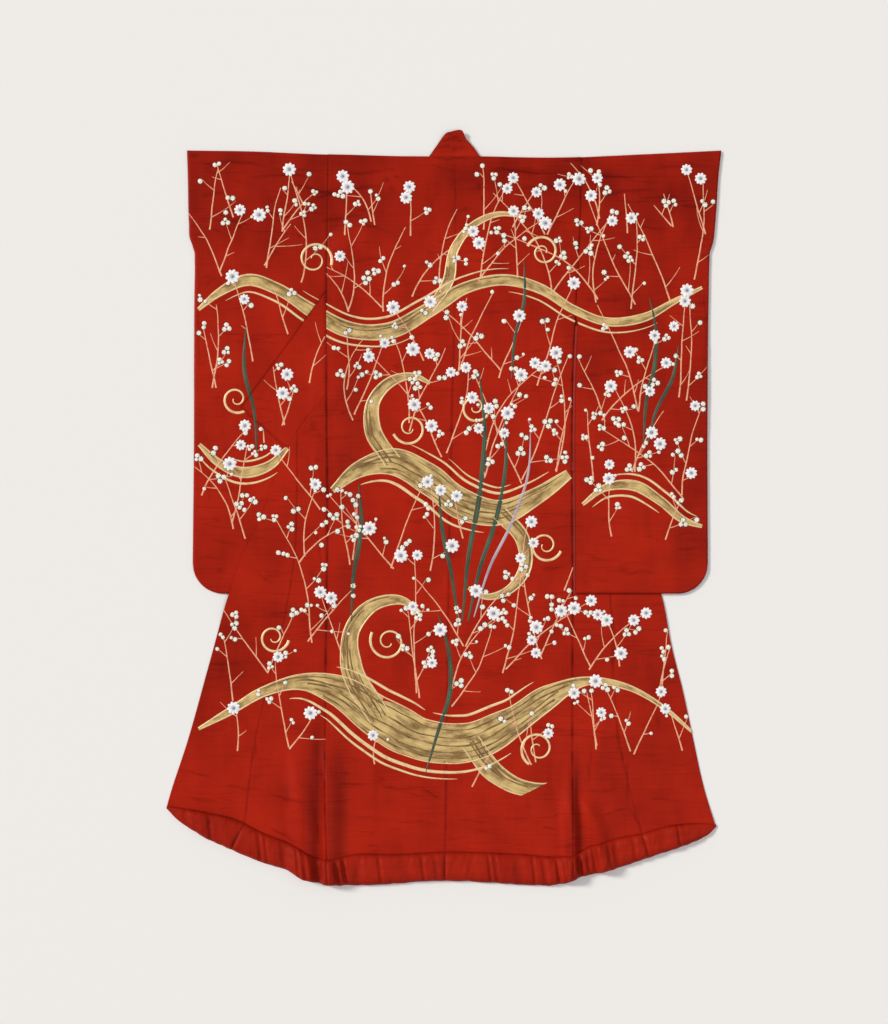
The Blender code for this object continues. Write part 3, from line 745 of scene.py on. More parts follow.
COVERS["front_left"] = np.array([(-298, 0), (-300, 565), (-298, 762), (300, 762), (300, 0)]) * MM
COLLAR_SEAM_LEFT = straight((-299, 565), (-402, 706))
front_left_plan = between(
    side_by_side(lambda down: SIDE_LEFT(down) + SEAM_GAP,
                 side_by_side(COLLAR_SEAM_LEFT, OVERLAP_LEFT, OVERLAP_START), CROSSING),
    side_by_side(HIDDEN_LEFT, SIDE_LEFT, SIDE_SEAM_START), SHOULDER, HEM_SEAM)
overlap_left_plan = between(EDGE_LEFT, OVERLAP_LEFT, COLLAR_SEAM_DOWN, HEM_SEAM)
for node, plan, columns, rows, flat, area, sides in (
        ("front_left", front_left_plan, 26, 440, (0.25, 1.72), 0.27, FRONT_LEFT_SIDES),
        ("overlap_left", overlap_left_plan, 26, 250, (0.20, 1.05), 0.13, OVERLAP_LEFT_SIDES)):
    front = cloth(node, plan, front_left_height, columns, rows, sides=sides)
    stands_for(front, node)


# The right front and its overlap, cut like the left ones. They lie on the floor, under the right
# sleeve, and run on under the back to the neck.
SIDE_RIGHT = curve([(-15, 319), (324, 309), (397, 304), (1064, 298), (1765, 298)])
OVERLAP_RIGHT = curve([(665, 374), (835, 379), (981, 385), (1098, 391), (1281, 398), (1505, 428),
                       (1646, 467)])
EDGE_RIGHT = curve([(706, 404), (774, 433), (884, 463), (1018, 499), (1064, 514), (1186, 538),
                    (1302, 567), (1419, 592), (1536, 618), (1629, 646)])
HIDDEN_RIGHT = curve([(0, 78), (200, 130), (480, 232), (665, 284), (762, 300)])
COLLAR_SEAM_RIGHT = straight((300, 565), (404, 706))
SEAMS += [(SIDE_RIGHT, -20, 1, 1.0), (OVERLAP_RIGHT, 665, -1, 0.55)]
COVERS["front_right"] = np.array([(-300, 0), (302, 0), (306, 560), (700, 560), (700, 1064),
                                  (299, 1064), (299, 762), (-300, 762)]) * MM
COVERS["overlap_right"] = np.array([(299, 500), (700, 500), (700, 1064), (299, 1064)]) * MM
front_right_plan = between(
    side_by_side(HIDDEN_RIGHT, SIDE_RIGHT, SIDE_SEAM_START),
    side_by_side(lambda down: SIDE_RIGHT(down) - SEAM_GAP,
                 side_by_side(COLLAR_SEAM_RIGHT, OVERLAP_RIGHT, OVERLAP_START), CROSSING),
    SHOULDER, HEM_SEAM)
overlap_right_plan = between(OVERLAP_RIGHT, EDGE_RIGHT, slanted_top((300, 565), (404, 706)),
                             HEM_SEAM)
for node, plan, columns, rows, flat, area in (
        ("front_right", front_right_plan, 26, 440, (0.25, 1.72), 0.27),
        ("overlap_right", overlap_right_plan, 26, 250, (0.20, 1.05), 0.13)):
    front = cloth(node, plan, folds, columns, rows)
    stands_for(front, node)


# The collar: one long doubled band of silk, sewn to both fronts and round the back of the neck,
# where it rolls up off the floor. Its left end shows over the left sleeve.
NECK_RISE = 9 * MM
NECK_START = 14 * MM
NECK_TOP = 58 * MM
# How far the collar's inner edge laps over the seam to the fronts, as a share of its width
COLLAR_LAP = 1.03
# Its sections from the left end to the right one: (outer across, outer down, inner across,
# inner down)
COLLAR = [
    (-509, 611, -402, 706),
    (-402, 464, -299, 565),
    (-304, 329, -190, 416),
    (-180, 160, -90, 225),
    (-72, 28, -30, 110),
    (-50, -2, -12, 84),
    (-33, -26, -3, 74),
    (-14, -52, 4, 70),
    (0, -59, 10, 69),
    (27, -63, 16, 69),
    (39, -43, 22, 70),
    (56, -24, 30, 74),
    (73, 0, 40, 84),
    (98, 32, 60, 112),
    (210, 170, 112, 245),
    (312, 329, 196, 424),
    (405, 464, 300, 565),
    (500, 611, 404, 706),
]
WHOLE_SLEEVE = area_between(SLEEVE_LEFT, SIDE_LEFT, 0, SLEEVE_BOTTOM)
HIDDEN_FRONT_RIGHT = area_between(HIDDEN_RIGHT, SIDE_RIGHT, 0, SIDE_SEAM_START)


def along_collar(u, v):
    """Lays the unit square along the collar's sections, from its outer to its inner edge."""
    rows = np.array(COLLAR, float)
    station = np.linspace(0, 1000, len(rows))
    edges = [curve(np.column_stack((station, column))) for column in rows.T]
    outer_across, outer_down, inner_across, inner_down = (edge(u) for edge in edges)
    v = crowded(v) * COLLAR_LAP
    return (outer_across + (inner_across - outer_across) * v,
            outer_down + (inner_down - outer_down) * v)


def over_fronts(across, down):
    """The height of the upper side of both fronts, where the collar and the back cover them."""
    on_left = lift(HIDDEN_FRONT_LEFT, SPRING * over_left_sleeve(across, down) + CLOTH + LAYER_GAP,
                   across, down)
    return np.maximum(on_left, lift(HIDDEN_FRONT_RIGHT, CLOTH + LAYER_GAP, across, down))


def collar_height(across, down):
    """The collar lies on the left sleeve and both fronts, and rises behind the neck."""
    on_sleeve = lift(WHOLE_SLEEVE, SLEEVE_DEPTH + LAYER_GAP, across, down)
    neck = np.clip((-down - NECK_START) / (NECK_TOP - NECK_START), 0, 1)
    return np.maximum(on_sleeve, over_fronts(across, down)) + NECK_RISE * neck * neck


COVERS["collar"] = np.array([(-301, 300), (-299, 565), (-290, 800), (700, 800), (700, 300),
                             (305, 0), (-297, -2)]) * MM
CREASES += [
    (-22, -40, 42, -36, 3, 1.3), (-30, -24, 52, -20, 3, 1.0), (-12, -52, 30, -50, 3, 1.1),
    (-34, -8, 46, -18, 4, 1.5), (-6, 2, 62, -6, 4, 1.2), (-26, -34, 30, -42, 3, 1.2),
    (-40, -18, 10, -30, 3, 1.0), (-62, 0, 84, 1, 3, 1.7), (-470, 600, -420, 530, 11, 0.7),
    (-420, 590, -370, 510, 11, 0.6),
]
collar = cloth("collar", along_collar, collar_height, 400, 34, wall=COLLAR_WALL, sides=COLLAR_SIDES)
stands_for(collar, "collar")


# The right sleeve, a bag like the left one. It lies over the right front, and the paler lining of
# its body side shows as a thin strip beside the back.
SLEEVE_RIGHT = curve([(-15, 660), (46, 653), (124, 648), (185, 643), (202, 641), (221, 636),
                      (232, 632), (252, 631), (340, 629), (480, 627), (689, 626), (981, 627)])
LINING_SHOWS = 6.6 * MM
LINING_CLEAR = 1.2 * MM
LINING_TOP = 412 * MM
SET_BACK_OVER = 30 * MM
SLEEVE_MARGIN = 45 * MM
COLLAR_END_RIGHT = np.array([(309, 325), (500, 611), (404, 706), (300, 565)]) * MM
UNDER_SLEEVE = area_between(SIDE_RIGHT, side_by_side(COLLAR_SEAM_RIGHT, EDGE_RIGHT, 706 * MM),
                            CROSSING, 1200 * MM)


def sleeve_inner_right(down):
    """The inner edge of the right sleeve. It is set back where the lining shows."""
    back = soft_step(1 - (LINING_TOP - down) / SET_BACK_OVER)
    return SIDE_RIGHT(down) + (LINING_CLEAR + LINING_SHOWS) * back


def right_sleeve_height(across, down):
    """The right sleeve lies on the right front and on the end of the collar."""
    on_front = lift(UNDER_SLEEVE, CLOTH + LAYER_GAP, across, down, SLEEVE_MARGIN)
    on_collar = lift(COLLAR_END_RIGHT, collar_height(across, down) + COLLAR_WALL + LAYER_GAP,
                     across, down, SLEEVE_MARGIN)
    return np.maximum(on_front, on_collar)


sleeve_right = bag("sleeve_right", between(sleeve_inner_right, SLEEVE_RIGHT, SHOULDER,
                                           sleeve_bottom(SLEEVE_RIGHT, 1)),
                   right_sleeve_height, sewn_depth(SIDE_RIGHT, 380 * MM), 1, 44, 270)
stands_for(sleeve_right, "sleeve_right")

red_lining = silk("Red lining silk", (0.41, 0.036, 0.024), (0.20, 0.013, 0.009), 0.5)
lining = cloth("sleeve_right_lining",
               between(lambda down: SIDE_RIGHT(down) + LINING_CLEAR, sleeve_inner_right,
                       lambda across: LINING_TOP + 0 * across,
                       lambda across: SLEEVE_BOTTOM + 0 * across),
               right_sleeve_height, 4, 160, material=red_lining)
stands_for(lining, "sleeve_right_lining")


# The back: two long panels, seamed down the middle. They lie on the fronts, the collar and the
# seam of the left sleeve, and their upper edge is the fold along the shoulders.
CENTRE = curve([(0, 15), (275, 12), (835, 0), (1692, -12), (1757, -13)])
SEAMS += [(CENTRE, -20, -1, 0.6)]


def outline(plan, steps=24):
    """The outline of a laid piece, as points across and down."""
    t = np.linspace(0, 1, steps, endpoint=False)
    ends = np.zeros(steps)
    u = np.concatenate((t, ends + 1, 1 - t, ends))
    v = np.concatenate((ends, t, ends + 1, 1 - t))
    return np.column_stack(plan(u, v))


COLLAR_AREA = outline(along_collar, 60)


def back_height(across, down):
    """The back lies on the fronts, the collar and the seam of the left sleeve."""
    below = collar_height(across, np.maximum(down, 0))
    spring = (SPRING - 1) * np.maximum(below - CLOTH - LAYER_GAP, 0)
    on_collar = lift(COLLAR_AREA, below + spring + COLLAR_WALL + LAYER_GAP, across, down)
    return np.max((over_fronts(across, down), on_collar, over_left_sleeve(across, down)), axis=0)


for node, plan, sides in (
        ("back_left", between(SIDE_LEFT, CENTRE, SHOULDER, HEM_SEAM), BACK_LEFT_SIDES),
        ("back_right", between(CENTRE, SIDE_RIGHT, SHOULDER, HEM_SEAM), BACK_RIGHT_SIDES)):
    back = cloth(node, plan, back_height, 44, 440, sides=sides)
    stands_for(back, node)


# The wadded hem: the lining is brought down round a roll of floss, sewn along the panels' lower
# edge and caught up at each lengthwise seam, so that it swells between gathers.
HEM_CROWN = 17 * MM
HEM_FULL_WIDTH = 58 * MM
HEM_ROWS = 22
HEM_EDGE = curve([(-690, 1586), (-662, 1614), (-628, 1637), (-594, 1657), (-526, 1688),
                  (-458, 1716), (-390, 1738), (-355, 1757), (-321, 1766), (-253, 1771),
                  (-151, 1769), (-82, 1764), (-13, 1761), (60, 1763), (122, 1767), (200, 1771),
                  (258, 1771), (297, 1760), (326, 1750), (375, 1738), (409, 1729), (477, 1706),
                  (545, 1685), (579, 1672), (613, 1658), (634, 1644), (648, 1630)])
# Where the seams across it meet its upper seam and its edge
HEM_SEAMS = [(-689, -690), (-500, -533), (-300, -297), (-12, -13), (298, 298), (467, 483),
             (646, 648)]
# Gathers: (across, half width, depth as a share of the crown)
GATHERS = [
    (-640, 14, 0.2), (-583, 9, 0.4), (-566, 22, 0.2), (-462, 9, 0.4), (-447, 7, 0.25), (-404, 12, 0.3),
    (-369, 7, 0.4), (-352, 9, 0.35), (-326, 13, 0.5), (-274, 9, 0.65), (-256, 8, 0.5), (-222, 18, 0.3),
    (-170, 8, 0.3), (-106, 24, 0.25), (-66, 7, 0.3), (-34, 9, 0.2), (54, 18, 0.2), (96, 7, 0.35),
    (112, 9, 0.3), (168, 20, 0.3), (204, 7, 0.3), (231, 12, 0.35), (262, 7, 0.45), (281, 8, 0.5),
    (314, 10, 0.65), (336, 8, 0.45), (352, 12, 0.35), (386, 8, 0.3), (404, 16, 0.2), (448, 9, 0.3),
    (520, 20, 0.3), (556, 7, 0.35), (612, 14, 0.25),
]
GATHER_SLANT = 0.12
# How the padding swells from the seam, 0, to the edge of the hem, 1, in thousandths
SWELL = curve([(0, 0), (70, 420), (200, 760), (480, 900), (760, 1000), (920, 760), (1000, 280)])


def along_hem(first, last):
    """Lays the unit square between the hem's seam and edge, from one cross seam to the next."""
    def plan(u, v):
        ends = np.array([HEM_SEAMS[first], HEM_SEAMS[last]]) * MM
        at_seam, at_edge = (ends[0, i] + (ends[1, i] - ends[0, i]) * u for i in (0, 1))
        down = (1 - v) * HEM_SEAM(at_seam) + v * HEM_EDGE(at_edge)
        return at_seam + (at_edge - at_seam) * v, down
    return plan


def hem_top(u, v, across, down):
    """The upper side of the wadded hem: it swells between its edges and is pulled in by gathers."""
    width = HEM_EDGE(across) - HEM_SEAM(across)
    crown = HEM_CROWN * np.clip(width / HEM_FULL_WIDTH, 0.12, 1)
    for at, half_width, depth in GATHERS:
        aside = across - at * MM - GATHER_SLANT * (v - 0.5) * width
        crown = crown * (1 - 0.75 * depth * np.clip(1 - (aside / (half_width * MM)) ** 2, 0, 1) ** 2)
    return CLOTH + folds(across, down) + crown * SWELL(v)


def puckers(across, v):
    """Small gathers that run in from the seam and from the edge, and die out between them."""
    fine = lattice(across + 0.02 * v, v * 0.06, 0.0085, 0.03, 31)
    finer = lattice(across - 0.01 * v, v * 0.06, 0.0045, 0.02, 33)
    near_seam = np.exp(-v / 0.3) * soft_step(v / 0.06)
    near_edge = np.exp(-(1 - v) / 0.35)
    return fine * (0.35 + 0.7 * near_seam + 0.7 * near_edge) + finer * 0.3 * (near_seam + near_edge)


red_wadding = silk("Wadded red silk", (0.365, 0.0150, 0.0042), (0.13, 0.0032, 0.0012), 0.5, 0.12,
                   (30, 9, 1))
for first, node, columns in ((0, "hem_overlap_left", 70), (1, "hem_front_left", 76),
                             (2, "hem_back_left", 104), (3, "hem_back_right", 112),
                             (4, "hem_front_right", 66), (5, "hem_overlap_right", 66)):
    plan = along_hem(first, first + 1)
    data, unit = unit_mesh(node, columns, HEM_ROWS, True)
    u, v = unit[:, 0], crowded(unit[:, 1], 0.35)
    across, down = plan(u, v)
    share = np.clip((HEM_EDGE(across) - HEM_SEAM(across)) / HEM_FULL_WIDTH, 0, 1)
    scallop = 1.2 * MM * lattice(across, down * 0, 0.013, 1, 37) * share * v ** 6
    caught = np.minimum(u, 1 - u) * (HEM_SEAMS[first + 1][0] - HEM_SEAMS[first][0]) * MM
    pulled_in = 1 - 0.24 * np.exp(-(caught / (4 * MM)) ** 2)
    raised = (hem_top(u, v, across, down) - CLOTH - folds(across, down)) * pulled_in
    raised = raised + 1.1 * MM * puckers(across, v) * share * soft_step(v / 0.05)
    waves, painted_dimming = relief(across, down)
    waves = shallow(waves * (1 - soft_step(v / 0.3)))
    top = CLOTH + 1.3 * folds(across, down) + np.maximum(raised, -0.4 * MM) + waves
    bottom = folds(across, down) * 0
    # Thin lines of painted shade in the narrow gathers
    slant = GATHER_SLANT * (v - 0.5) * HEM_FULL_WIDTH
    pleat_shade = [0.45 * depth * np.exp(-((across - at * MM - slant) / (2.6 * MM)) ** 2)
              for at, half_width, depth in GATHERS if half_width < 10]
    # Painted shade along the upper seam, at the caught seams, in the gathers, fold troughs and soft
    # zones, and towards the edge where the roll turns down
    dark = np.max((0.7 * np.exp(-v / 0.035), 0.6 * np.exp(-(caught / SEAM_SHADE) ** 2), *pleat_shade,
                   0.9 * trough_shade(across, down), 0.6 * painted_dimming, 0.3 * v ** 5), axis=0)
    height = np.where(unit[:, 2] > 0.5, top, bottom)
    pad = lay_mesh(node + "_wadding", data, (across, down + scallop, height),
                   dark * (unit[:, 2] > 0.5), 0, red_wadding)
    stands_for(pad, node)


# The embroidery begins with couched gold: flat gold-wrapped thread laid in winding stream bands
# over sleeves, fronts and back, shaded in brown, and edged with a paler gold cord.
LOWEST_STITCH = curve([(-690, 1420), (-450, 1480), (-300, 1440), (-100, 1520), (120, 1570),
                       (300, 1500), (480, 1500), (650, 1480)])
HIGHEST_STITCH = 12 * MM
SLEEVE_STITCH_END = 950 * MM
BARE_SPOTS = np.array([(-460, 73), (12, 73), (475, 73)]) * MM
BARE_RADIUS = 46 * MM
STEP_LIMIT = 2.6 * MM
SLEEVE_BODY_SIDE = 308 * MM
LEFT_FRONT_REACH = 538 * MM
STITCH_SINK = 0.15 * MM


def as_ground(piece, takes_stitches):
    """A piece that a needle meets: its surface, its box, and whether it takes stitches."""
    bpy.context.view_layer.update()
    box = np.array([corner[:] for corner in piece.bound_box])
    surface = BVHTree.FromObject(piece, bpy.context.evaluated_depsgraph_get())
    return surface, box.min(0), box.max(0), takes_stitches


PLAIN = ("collar", "sleeve_right_lining")
grounds = {node: as_ground(bpy.data.objects[node + "_silk"], node not in PLAIN) for node in (
    "sleeve_left", "sleeve_right", "front_left", "front_right", "overlap_left", "overlap_right",
    "back_left", "back_right", *PLAIN)}


def ground(across, down):
    """The height of the cloth or the stitches at a point, or nan where none may be sewn."""
    x, y = across + ACROSS_AT_ORIGIN, DOWN_AT_ORIGIN - down
    if down > LOWEST_STITCH(across) or down < HIGHEST_STITCH:
        return math.nan
    if np.hypot(*(BARE_SPOTS - (across, down)).T).min() < BARE_RADIUS:
        return math.nan
    on_sleeve = across > SLEEVE_BODY_SIDE or across < -LEFT_FRONT_REACH
    if on_sleeve and SLEEVE_STITCH_END < down < SLEEVE_BOTTOM:
        return math.nan
    highest, sewn = -1.0, False
    for tree, low, high, takes in grounds.values():
        if low[0] < x < high[0] and low[1] < y < high[1]:
            hit = tree.ray_cast(Vector((x, y, 0.2)), Vector((0, 0, -1)), 0.3)[0]
            if hit and hit.z > highest:
                highest, sewn = hit.z, takes
    return highest if sewn else math.nan


def sideways(path):
    """The direction across a path at each of its points."""
    run = np.gradient(path, axis=0)
    run /= np.linalg.norm(run, axis=1)[:, None] + 1e-9
    return np.column_stack((-run[:, 1], run[:, 0]))


def bedded(height, raised):
    """The height of thread that is sunk a little in its ground. Off the ground it is left low."""
    return (0 if math.isnan(height) else height) - STITCH_SINK + raised


def ribbon(stitches, path, width, rise, strands):
    """Lays a rounded band of thread along a path of (across, down) points, on the cloth."""
    points, faces, cut = stitches
    beside = sideways(path)
    along = np.concatenate(([0], np.cumsum(np.linalg.norm(np.diff(path, axis=0), axis=1))))
    start = len(points)
    shares = np.linspace(-0.5, 0.5, strands)
    swells = 1 - np.abs(2 * shares) ** 3
    heights = np.zeros((len(path), strands))
    for i in range(len(path)):
        for j, share in enumerate(shares):
            at = path[i] + beside[i] * share * width[i]
            heights[i, j] = ground(*at)
            points.append((at[0] + ACROSS_AT_ORIGIN, DOWN_AT_ORIGIN - at[1],
                           bedded(heights[i, j], rise * swells[j])))
            cut.append((along[i], share * width[i]))
    for i in range(len(path) - 1):
        for j in range(strands - 1):
            patch = heights[i:i + 2, j:j + 2]
            corner = start + i * strands + j
            around = (corner, corner + strands, corner + strands + 1, corner + 1)
            if np.ptp(patch) < STEP_LIMIT:
                faces.append(around)
            elif not np.isnan(patch).all():
                trim(stitches, around, rise, swells[j:j + 2])


def trim(stitches, around, rise, swells, parts=5):
    """Fills a patch of a band that crosses the rim of its cloth with smaller ones, up to the rim."""
    points, faces, cut = stitches
    corners = [np.array((*points[corner][:2], *cut[corner])) for corner in around]
    start, heights = len(points), np.zeros((parts + 1, parts + 1))
    for i, s in enumerate(np.linspace(0, 1, parts + 1)):
        for j, t in enumerate(np.linspace(0, 1, parts + 1)):
            x, y, along, aside = ((1 - s) * (1 - t) * corners[0] + s * (1 - t) * corners[1]
                                  + s * t * corners[2] + (1 - s) * t * corners[3])
            heights[i, j] = ground(x - ACROSS_AT_ORIGIN, DOWN_AT_ORIGIN - y)
            swell = swells[0] * (1 - t) + swells[1] * t
            points.append((x, y, bedded(heights[i, j], rise * swell)))
            cut.append((along, aside))
    for i in range(parts):
        for j in range(parts):
            if np.ptp(heights[i:i + 2, j:j + 2]) < STEP_LIMIT:
                corner = start + i * (parts + 1) + j
                faces.append((corner, corner + parts + 1, corner + parts + 2, corner + 1))


def swept(rows, step=4.5 * MM):
    """A smooth path through (across, down, width) rows in millimetres, with its widths."""
    rows = np.array(rows, float)
    station = np.concatenate(([0], np.cumsum(np.hypot(*np.diff(rows[:, :2], axis=0).T))))
    at = np.arange(0, station[-1] * MM, step)
    across, down, width = (curve(np.column_stack((station, column)))(at) for column in rows.T)
    return np.column_stack((across, down)), np.maximum(width, 0.8 * MM)


def drop_scraps(tidy, least):
    """Removes loose stitches that are smaller than the least area."""
    bmesh.ops.remove_doubles(tidy, verts=tidy.verts, dist=0.02 * MM)
    left = set(tidy.faces)
    while left:
        group, edge = set(), [left.pop()]
        while edge:
            face = edge.pop()
            group.add(face)
            beside = {near for corner in face.verts for near in corner.link_faces} & left
            left -= beside
            edge += beside
        if sum(face.calc_area() for face in group) < least:
            bmesh.ops.delete(tidy, geom=list(group), context="FACES")


def sewn(name, stitches, material, slot, least=0.0):
    """Makes one piece of all the stitches in one kind of thread."""
    points, faces, cut = stitches
    data = bpy.data.meshes.new(name)
    data.from_pydata(points, [], faces)
    mark_cut(data, np.array(cut))
    data.materials.append(material)
    piece = added(name, data)
    tidy = bmesh.new()
    tidy.from_mesh(data)
    bmesh.ops.delete(tidy, geom=[v for v in tidy.verts if not v.link_faces], context="VERTS")
    if least:
        drop_scraps(tidy, least)
    down_facing = [face for face in tidy.faces if face.normal.z < 0]
    bmesh.ops.reverse_faces(tidy, faces=down_facing)
    tidy.to_mesh(data)
    tidy.free()
    data.shade_smooth()
    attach(piece, "root")
    return piece


def thread(name, light, dark, roughness, metallic, twist, patch, share=0.5):
    """Silk or gold thread: fine strands along the stitch, and a slow change of shade."""
    material, tree, shader = new_material(name)
    broad, fine = uneven(tree, patch, 3, 0.6), uneven(tree, twist, 1, 0.6)
    tone = reckon(tree, "ADD", ranged(tree, broad, share - 0.1, share + 0.14, 0, 0.8),
                  ranged(tree, fine, 0.35, 0.7, 0, 0.3))
    tree.links.new(tinted(tree, tone, light, dark), shader.inputs["Base Color"])
    raise_grain(tree, fine, 0.6, 0.0005)
    set_sockets(shader, Roughness=roughness, Metallic=metallic)
    return material


# Each stream: (across, down, width) from one end to the other
STREAMS = [
    [(-612, 372, 6), (-560, 330, 18), (-490, 300, 26), (-420, 322, 28), (-340, 372, 30),
     (-250, 420, 36), (-150, 424, 40), (-50, 372, 34), (40, 318, 28), (130, 300, 24),
     (220, 322, 22), (300, 372, 18), (380, 402, 18), (470, 392, 18), (550, 350, 12), (614, 318, 5)],
    [(-286, 812, 14), (-220, 760, 40), (-140, 742, 62), (-50, 786, 76), (30, 846, 70),
     (120, 866, 56), (210, 826, 42), (292, 770, 20)],
    [(-612, 1392, 5), (-540, 1352, 16), (-450, 1300, 24), (-360, 1278, 38), (-270, 1300, 74),
     (-170, 1366, 100), (-60, 1420, 110), (50, 1424, 96), (150, 1376, 76), (240, 1314, 54),
     (330, 1276, 20), (430, 1290, 12), (520, 1340, 8), (590, 1400, 4)],
    [(-610, 700, 6), (-566, 742, 18), (-506, 768, 25), (-440, 752, 22), (-392, 706, 8)],
    [(322, 846, 6), (376, 806, 15), (446, 800, 22), (512, 838, 20), (568, 884, 14), (614, 900, 5)],
    [(-50, 372, 20), (-4, 300, 24), (10, 226, 20), (52, 170, 16), (120, 140, 10), (180, 146, 4)],
    [(-140, 742, 40), (-188, 664, 38), (-186, 596, 30), (-142, 546, 22), (-86, 534, 12),
     (-46, 552, 5)],
    [(120, 866, 36), (176, 930, 34), (182, 1002, 28), (140, 1056, 20), (84, 1070, 12), (44, 1048, 5)],
    [(-170, 1366, 50), (-240, 1240, 48), (-238, 1150, 38), (-186, 1090, 28), (-116, 1080, 18),
     (-70, 1112, 6)],
    [(50, 1424, 44), (110, 1500, 44), (180, 1536, 34), (250, 1530, 16), (286, 1500, 6)],
]
# Thin lines that run beside a stream: (stream, offset from its middle as a share of its width,
# further offset, width, from share, to share)
RIPPLES = [
    (0, 0.5, 16, 6, 0.05, 0.42), (0, -0.5, -15, 6, 0.20, 0.62), (0, 0.5, 16, 5, 0.62, 0.90),
    (1, 0.5, 18, 8, 0.10, 0.66), (1, -0.5, -18, 7, 0.30, 0.95), (1, -0.5, -32, 5, 0.42, 0.80),
    (2, 0.5, 22, 9, 0.18, 0.60), (2, 0.5, 38, 6, 0.26, 0.52), (2, -0.5, -20, 7, 0.26, 0.44),
    (2, -0.5, -20, 7, 0.46, 0.70), (3, 0.5, 15, 6, 0.10, 0.80),
    (3, -0.5, -15, 5, 0.30, 0.95), (4, 0.5, 16, 6, 0.05, 0.70), (4, -0.5, -15, 6, 0.25, 0.95),
]
# Where the lines of brown shading run, as shares of a stream's width
SHADING_LINES = (-0.34, -0.14, 0.06, 0.24, 0.38)
# Curls where a stream turns on itself: (across, down, radius, first angle, turns)
CURLS = [
    (-330, 250, 44, 20, -1.5), (226, 232, 40, 200, 1.5), (-98, 660, 42, 160, -1.4),
    (232, 946, 40, 20, 1.5), (-150, 1180, 46, 210, -1.5), (214, 1440, 44, 120, 1.5),
    (-520, 590, 36, 40, 1.4), (-430, 1170, 38, 10, 1.4), (60, 610, 36, 30, 1.4),
]

def no_stitches(kinds):
    """Empty lists of points, faces and places on the cut, for each kind of thread."""
    return [([], [], []) for _ in range(kinds)]


couched, edging, shading = no_stitches(3)
courses = []
for number, rows in enumerate(STREAMS):
    path, width = swept(rows)
    width = width * (1 + 0.1 * lattice(path[:, 0], path[:, 1], 0.06, 0.06, 41 + number))
    courses.append((path, width))
    ribbon(couched, path, width, 1.3 * MM, 9)
gold = thread("Couched gold", (0.78, 0.56, 0.215), (0.205, 0.104, 0.024), 0.46, 0.2,
              (60, 1300, 1), (15, 50, 1), 0.505)
SCRAP = 90 * MM * MM
bands = sewn("stream_bands", couched, gold, "gold_thread", 5 * SCRAP)
grounds["stream_bands"] = as_ground(bands, True)

for number, (path, width) in enumerate(courses):
    beside = sideways(path)
    for share in (-0.5, 0.5):
        ribbon(edging, path + beside * (share * width)[:, None], 0 * width + 3.4 * MM, 1.2 * MM, 4)
    for line, share in enumerate(SHADING_LINES):
        wide = width > (24 + 9 * line) * MM
        drift = 5 * MM * lattice(path[:, 0], path[:, 1], 0.05, 0.05, 61 + number + line)
        inner = path + beside * (share * width + drift * (1 - abs(2 * share)))[:, None]
        thick = 3.4 * MM * (1 + lattice(path[:, 0], path[:, 1], 0.035, 0.035, 81 + line))
        if wide.sum() > 8:
            ribbon(shading, inner[wide], np.maximum(thick, 0.9 * MM)[wide], 1.0 * MM, 3)
    for stream, share, offset, thick, first, last in RIPPLES:
        if stream == number:
            part = slice(int(first * len(path)), int(last * len(path)))
            line = path[part] + beside[part] * (share * width[part] + offset * MM)[:, None]
            t = np.linspace(0, 1, len(line))
            ribbon(edging, line, thick * MM * (0.15 + 0.85 * np.sin(np.pi * t) ** 0.6), 1.1 * MM, 5)
for across, down, radius, first_angle, turns in CURLS:
    t = np.linspace(0, 1, 70)
    angle = np.radians(first_angle) + 2 * np.pi * turns * t
    reach = radius * MM * (1 - 0.82 * t)
    line = np.column_stack((across * MM + reach * np.cos(angle), down * MM + reach * np.sin(angle)))
    ribbon(edging, line, 7 * MM * (1 - 0.6 * t), 1.1 * MM, 5)
pale_gold = thread("Pale gold cord", (0.92, 0.70, 0.38), (0.52, 0.31, 0.12), 0.42, 0.2,
                   (500, 1500, 1), (40, 90, 1), 0.6)
brown_gold = thread("Brown shading", (0.30, 0.17, 0.045), (0.11, 0.05, 0.014), 0.6, 0.1,
                    (200, 1500, 1), (40, 90, 1))
sewn("stream_edging", edging, pale_gold, "gold_thread", SCRAP)
sewn("stream_shading", shading, brown_gold, "gold_thread", 0.3 * SCRAP)


# Grasses and asters in silk floss: thin salmon-gold stems with short twigs, white flat-stitched
# blossoms with blue-grey hearts, small round buds in twos and threes, and long dark-green blades.
STEM_STEP = 6 * MM
STEM_WIDTH = 4.4 * MM


def grown(start, heading, length, bend, thick):
    """A stem that starts at a point and turns slowly, until it meets ground that takes none."""
    points, at, height = [], np.array(start, float), ground(*start)
    for step in range(max(int(length / STEM_STEP), 2)):
        step_up = abs(ground(*at) - height)
        if not step_up < STEP_LIMIT:
            break
        height = ground(*at)
        points.append(at.copy())
        at = at + STEM_STEP * np.array([math.cos(heading), math.sin(heading)])
        heading += bend * STEM_STEP + rng.normal(0, 0.028)
    width = thick * np.linspace(1, 0.5, len(points))
    return np.array(points), width


def is_open(across, down, radius):
    """Whether a blossom of this size lies on one cloth there, clear of the others."""
    if any((across - x) ** 2 + (down - y) ** 2 < (0.8 * (radius + r)) ** 2 for x, y, r in blooms):
        return False
    rim = [ground(across + radius * math.cos(a), down + radius * math.sin(a))
           for a in np.linspace(0, 2 * np.pi, 7)[:-1]]
    return np.ptp(rim) < STEP_LIMIT if not np.isnan(rim).any() else False


def shape_of(piece):
    """The points and faces of a motif, and the object itself is put away."""
    points = np.array([vertex.co[:] for vertex in piece.data.vertices])
    faces = [tuple(face.vertices) for face in piece.data.polygons]
    bpy.data.objects.remove(piece, do_unlink=True)
    return points, faces


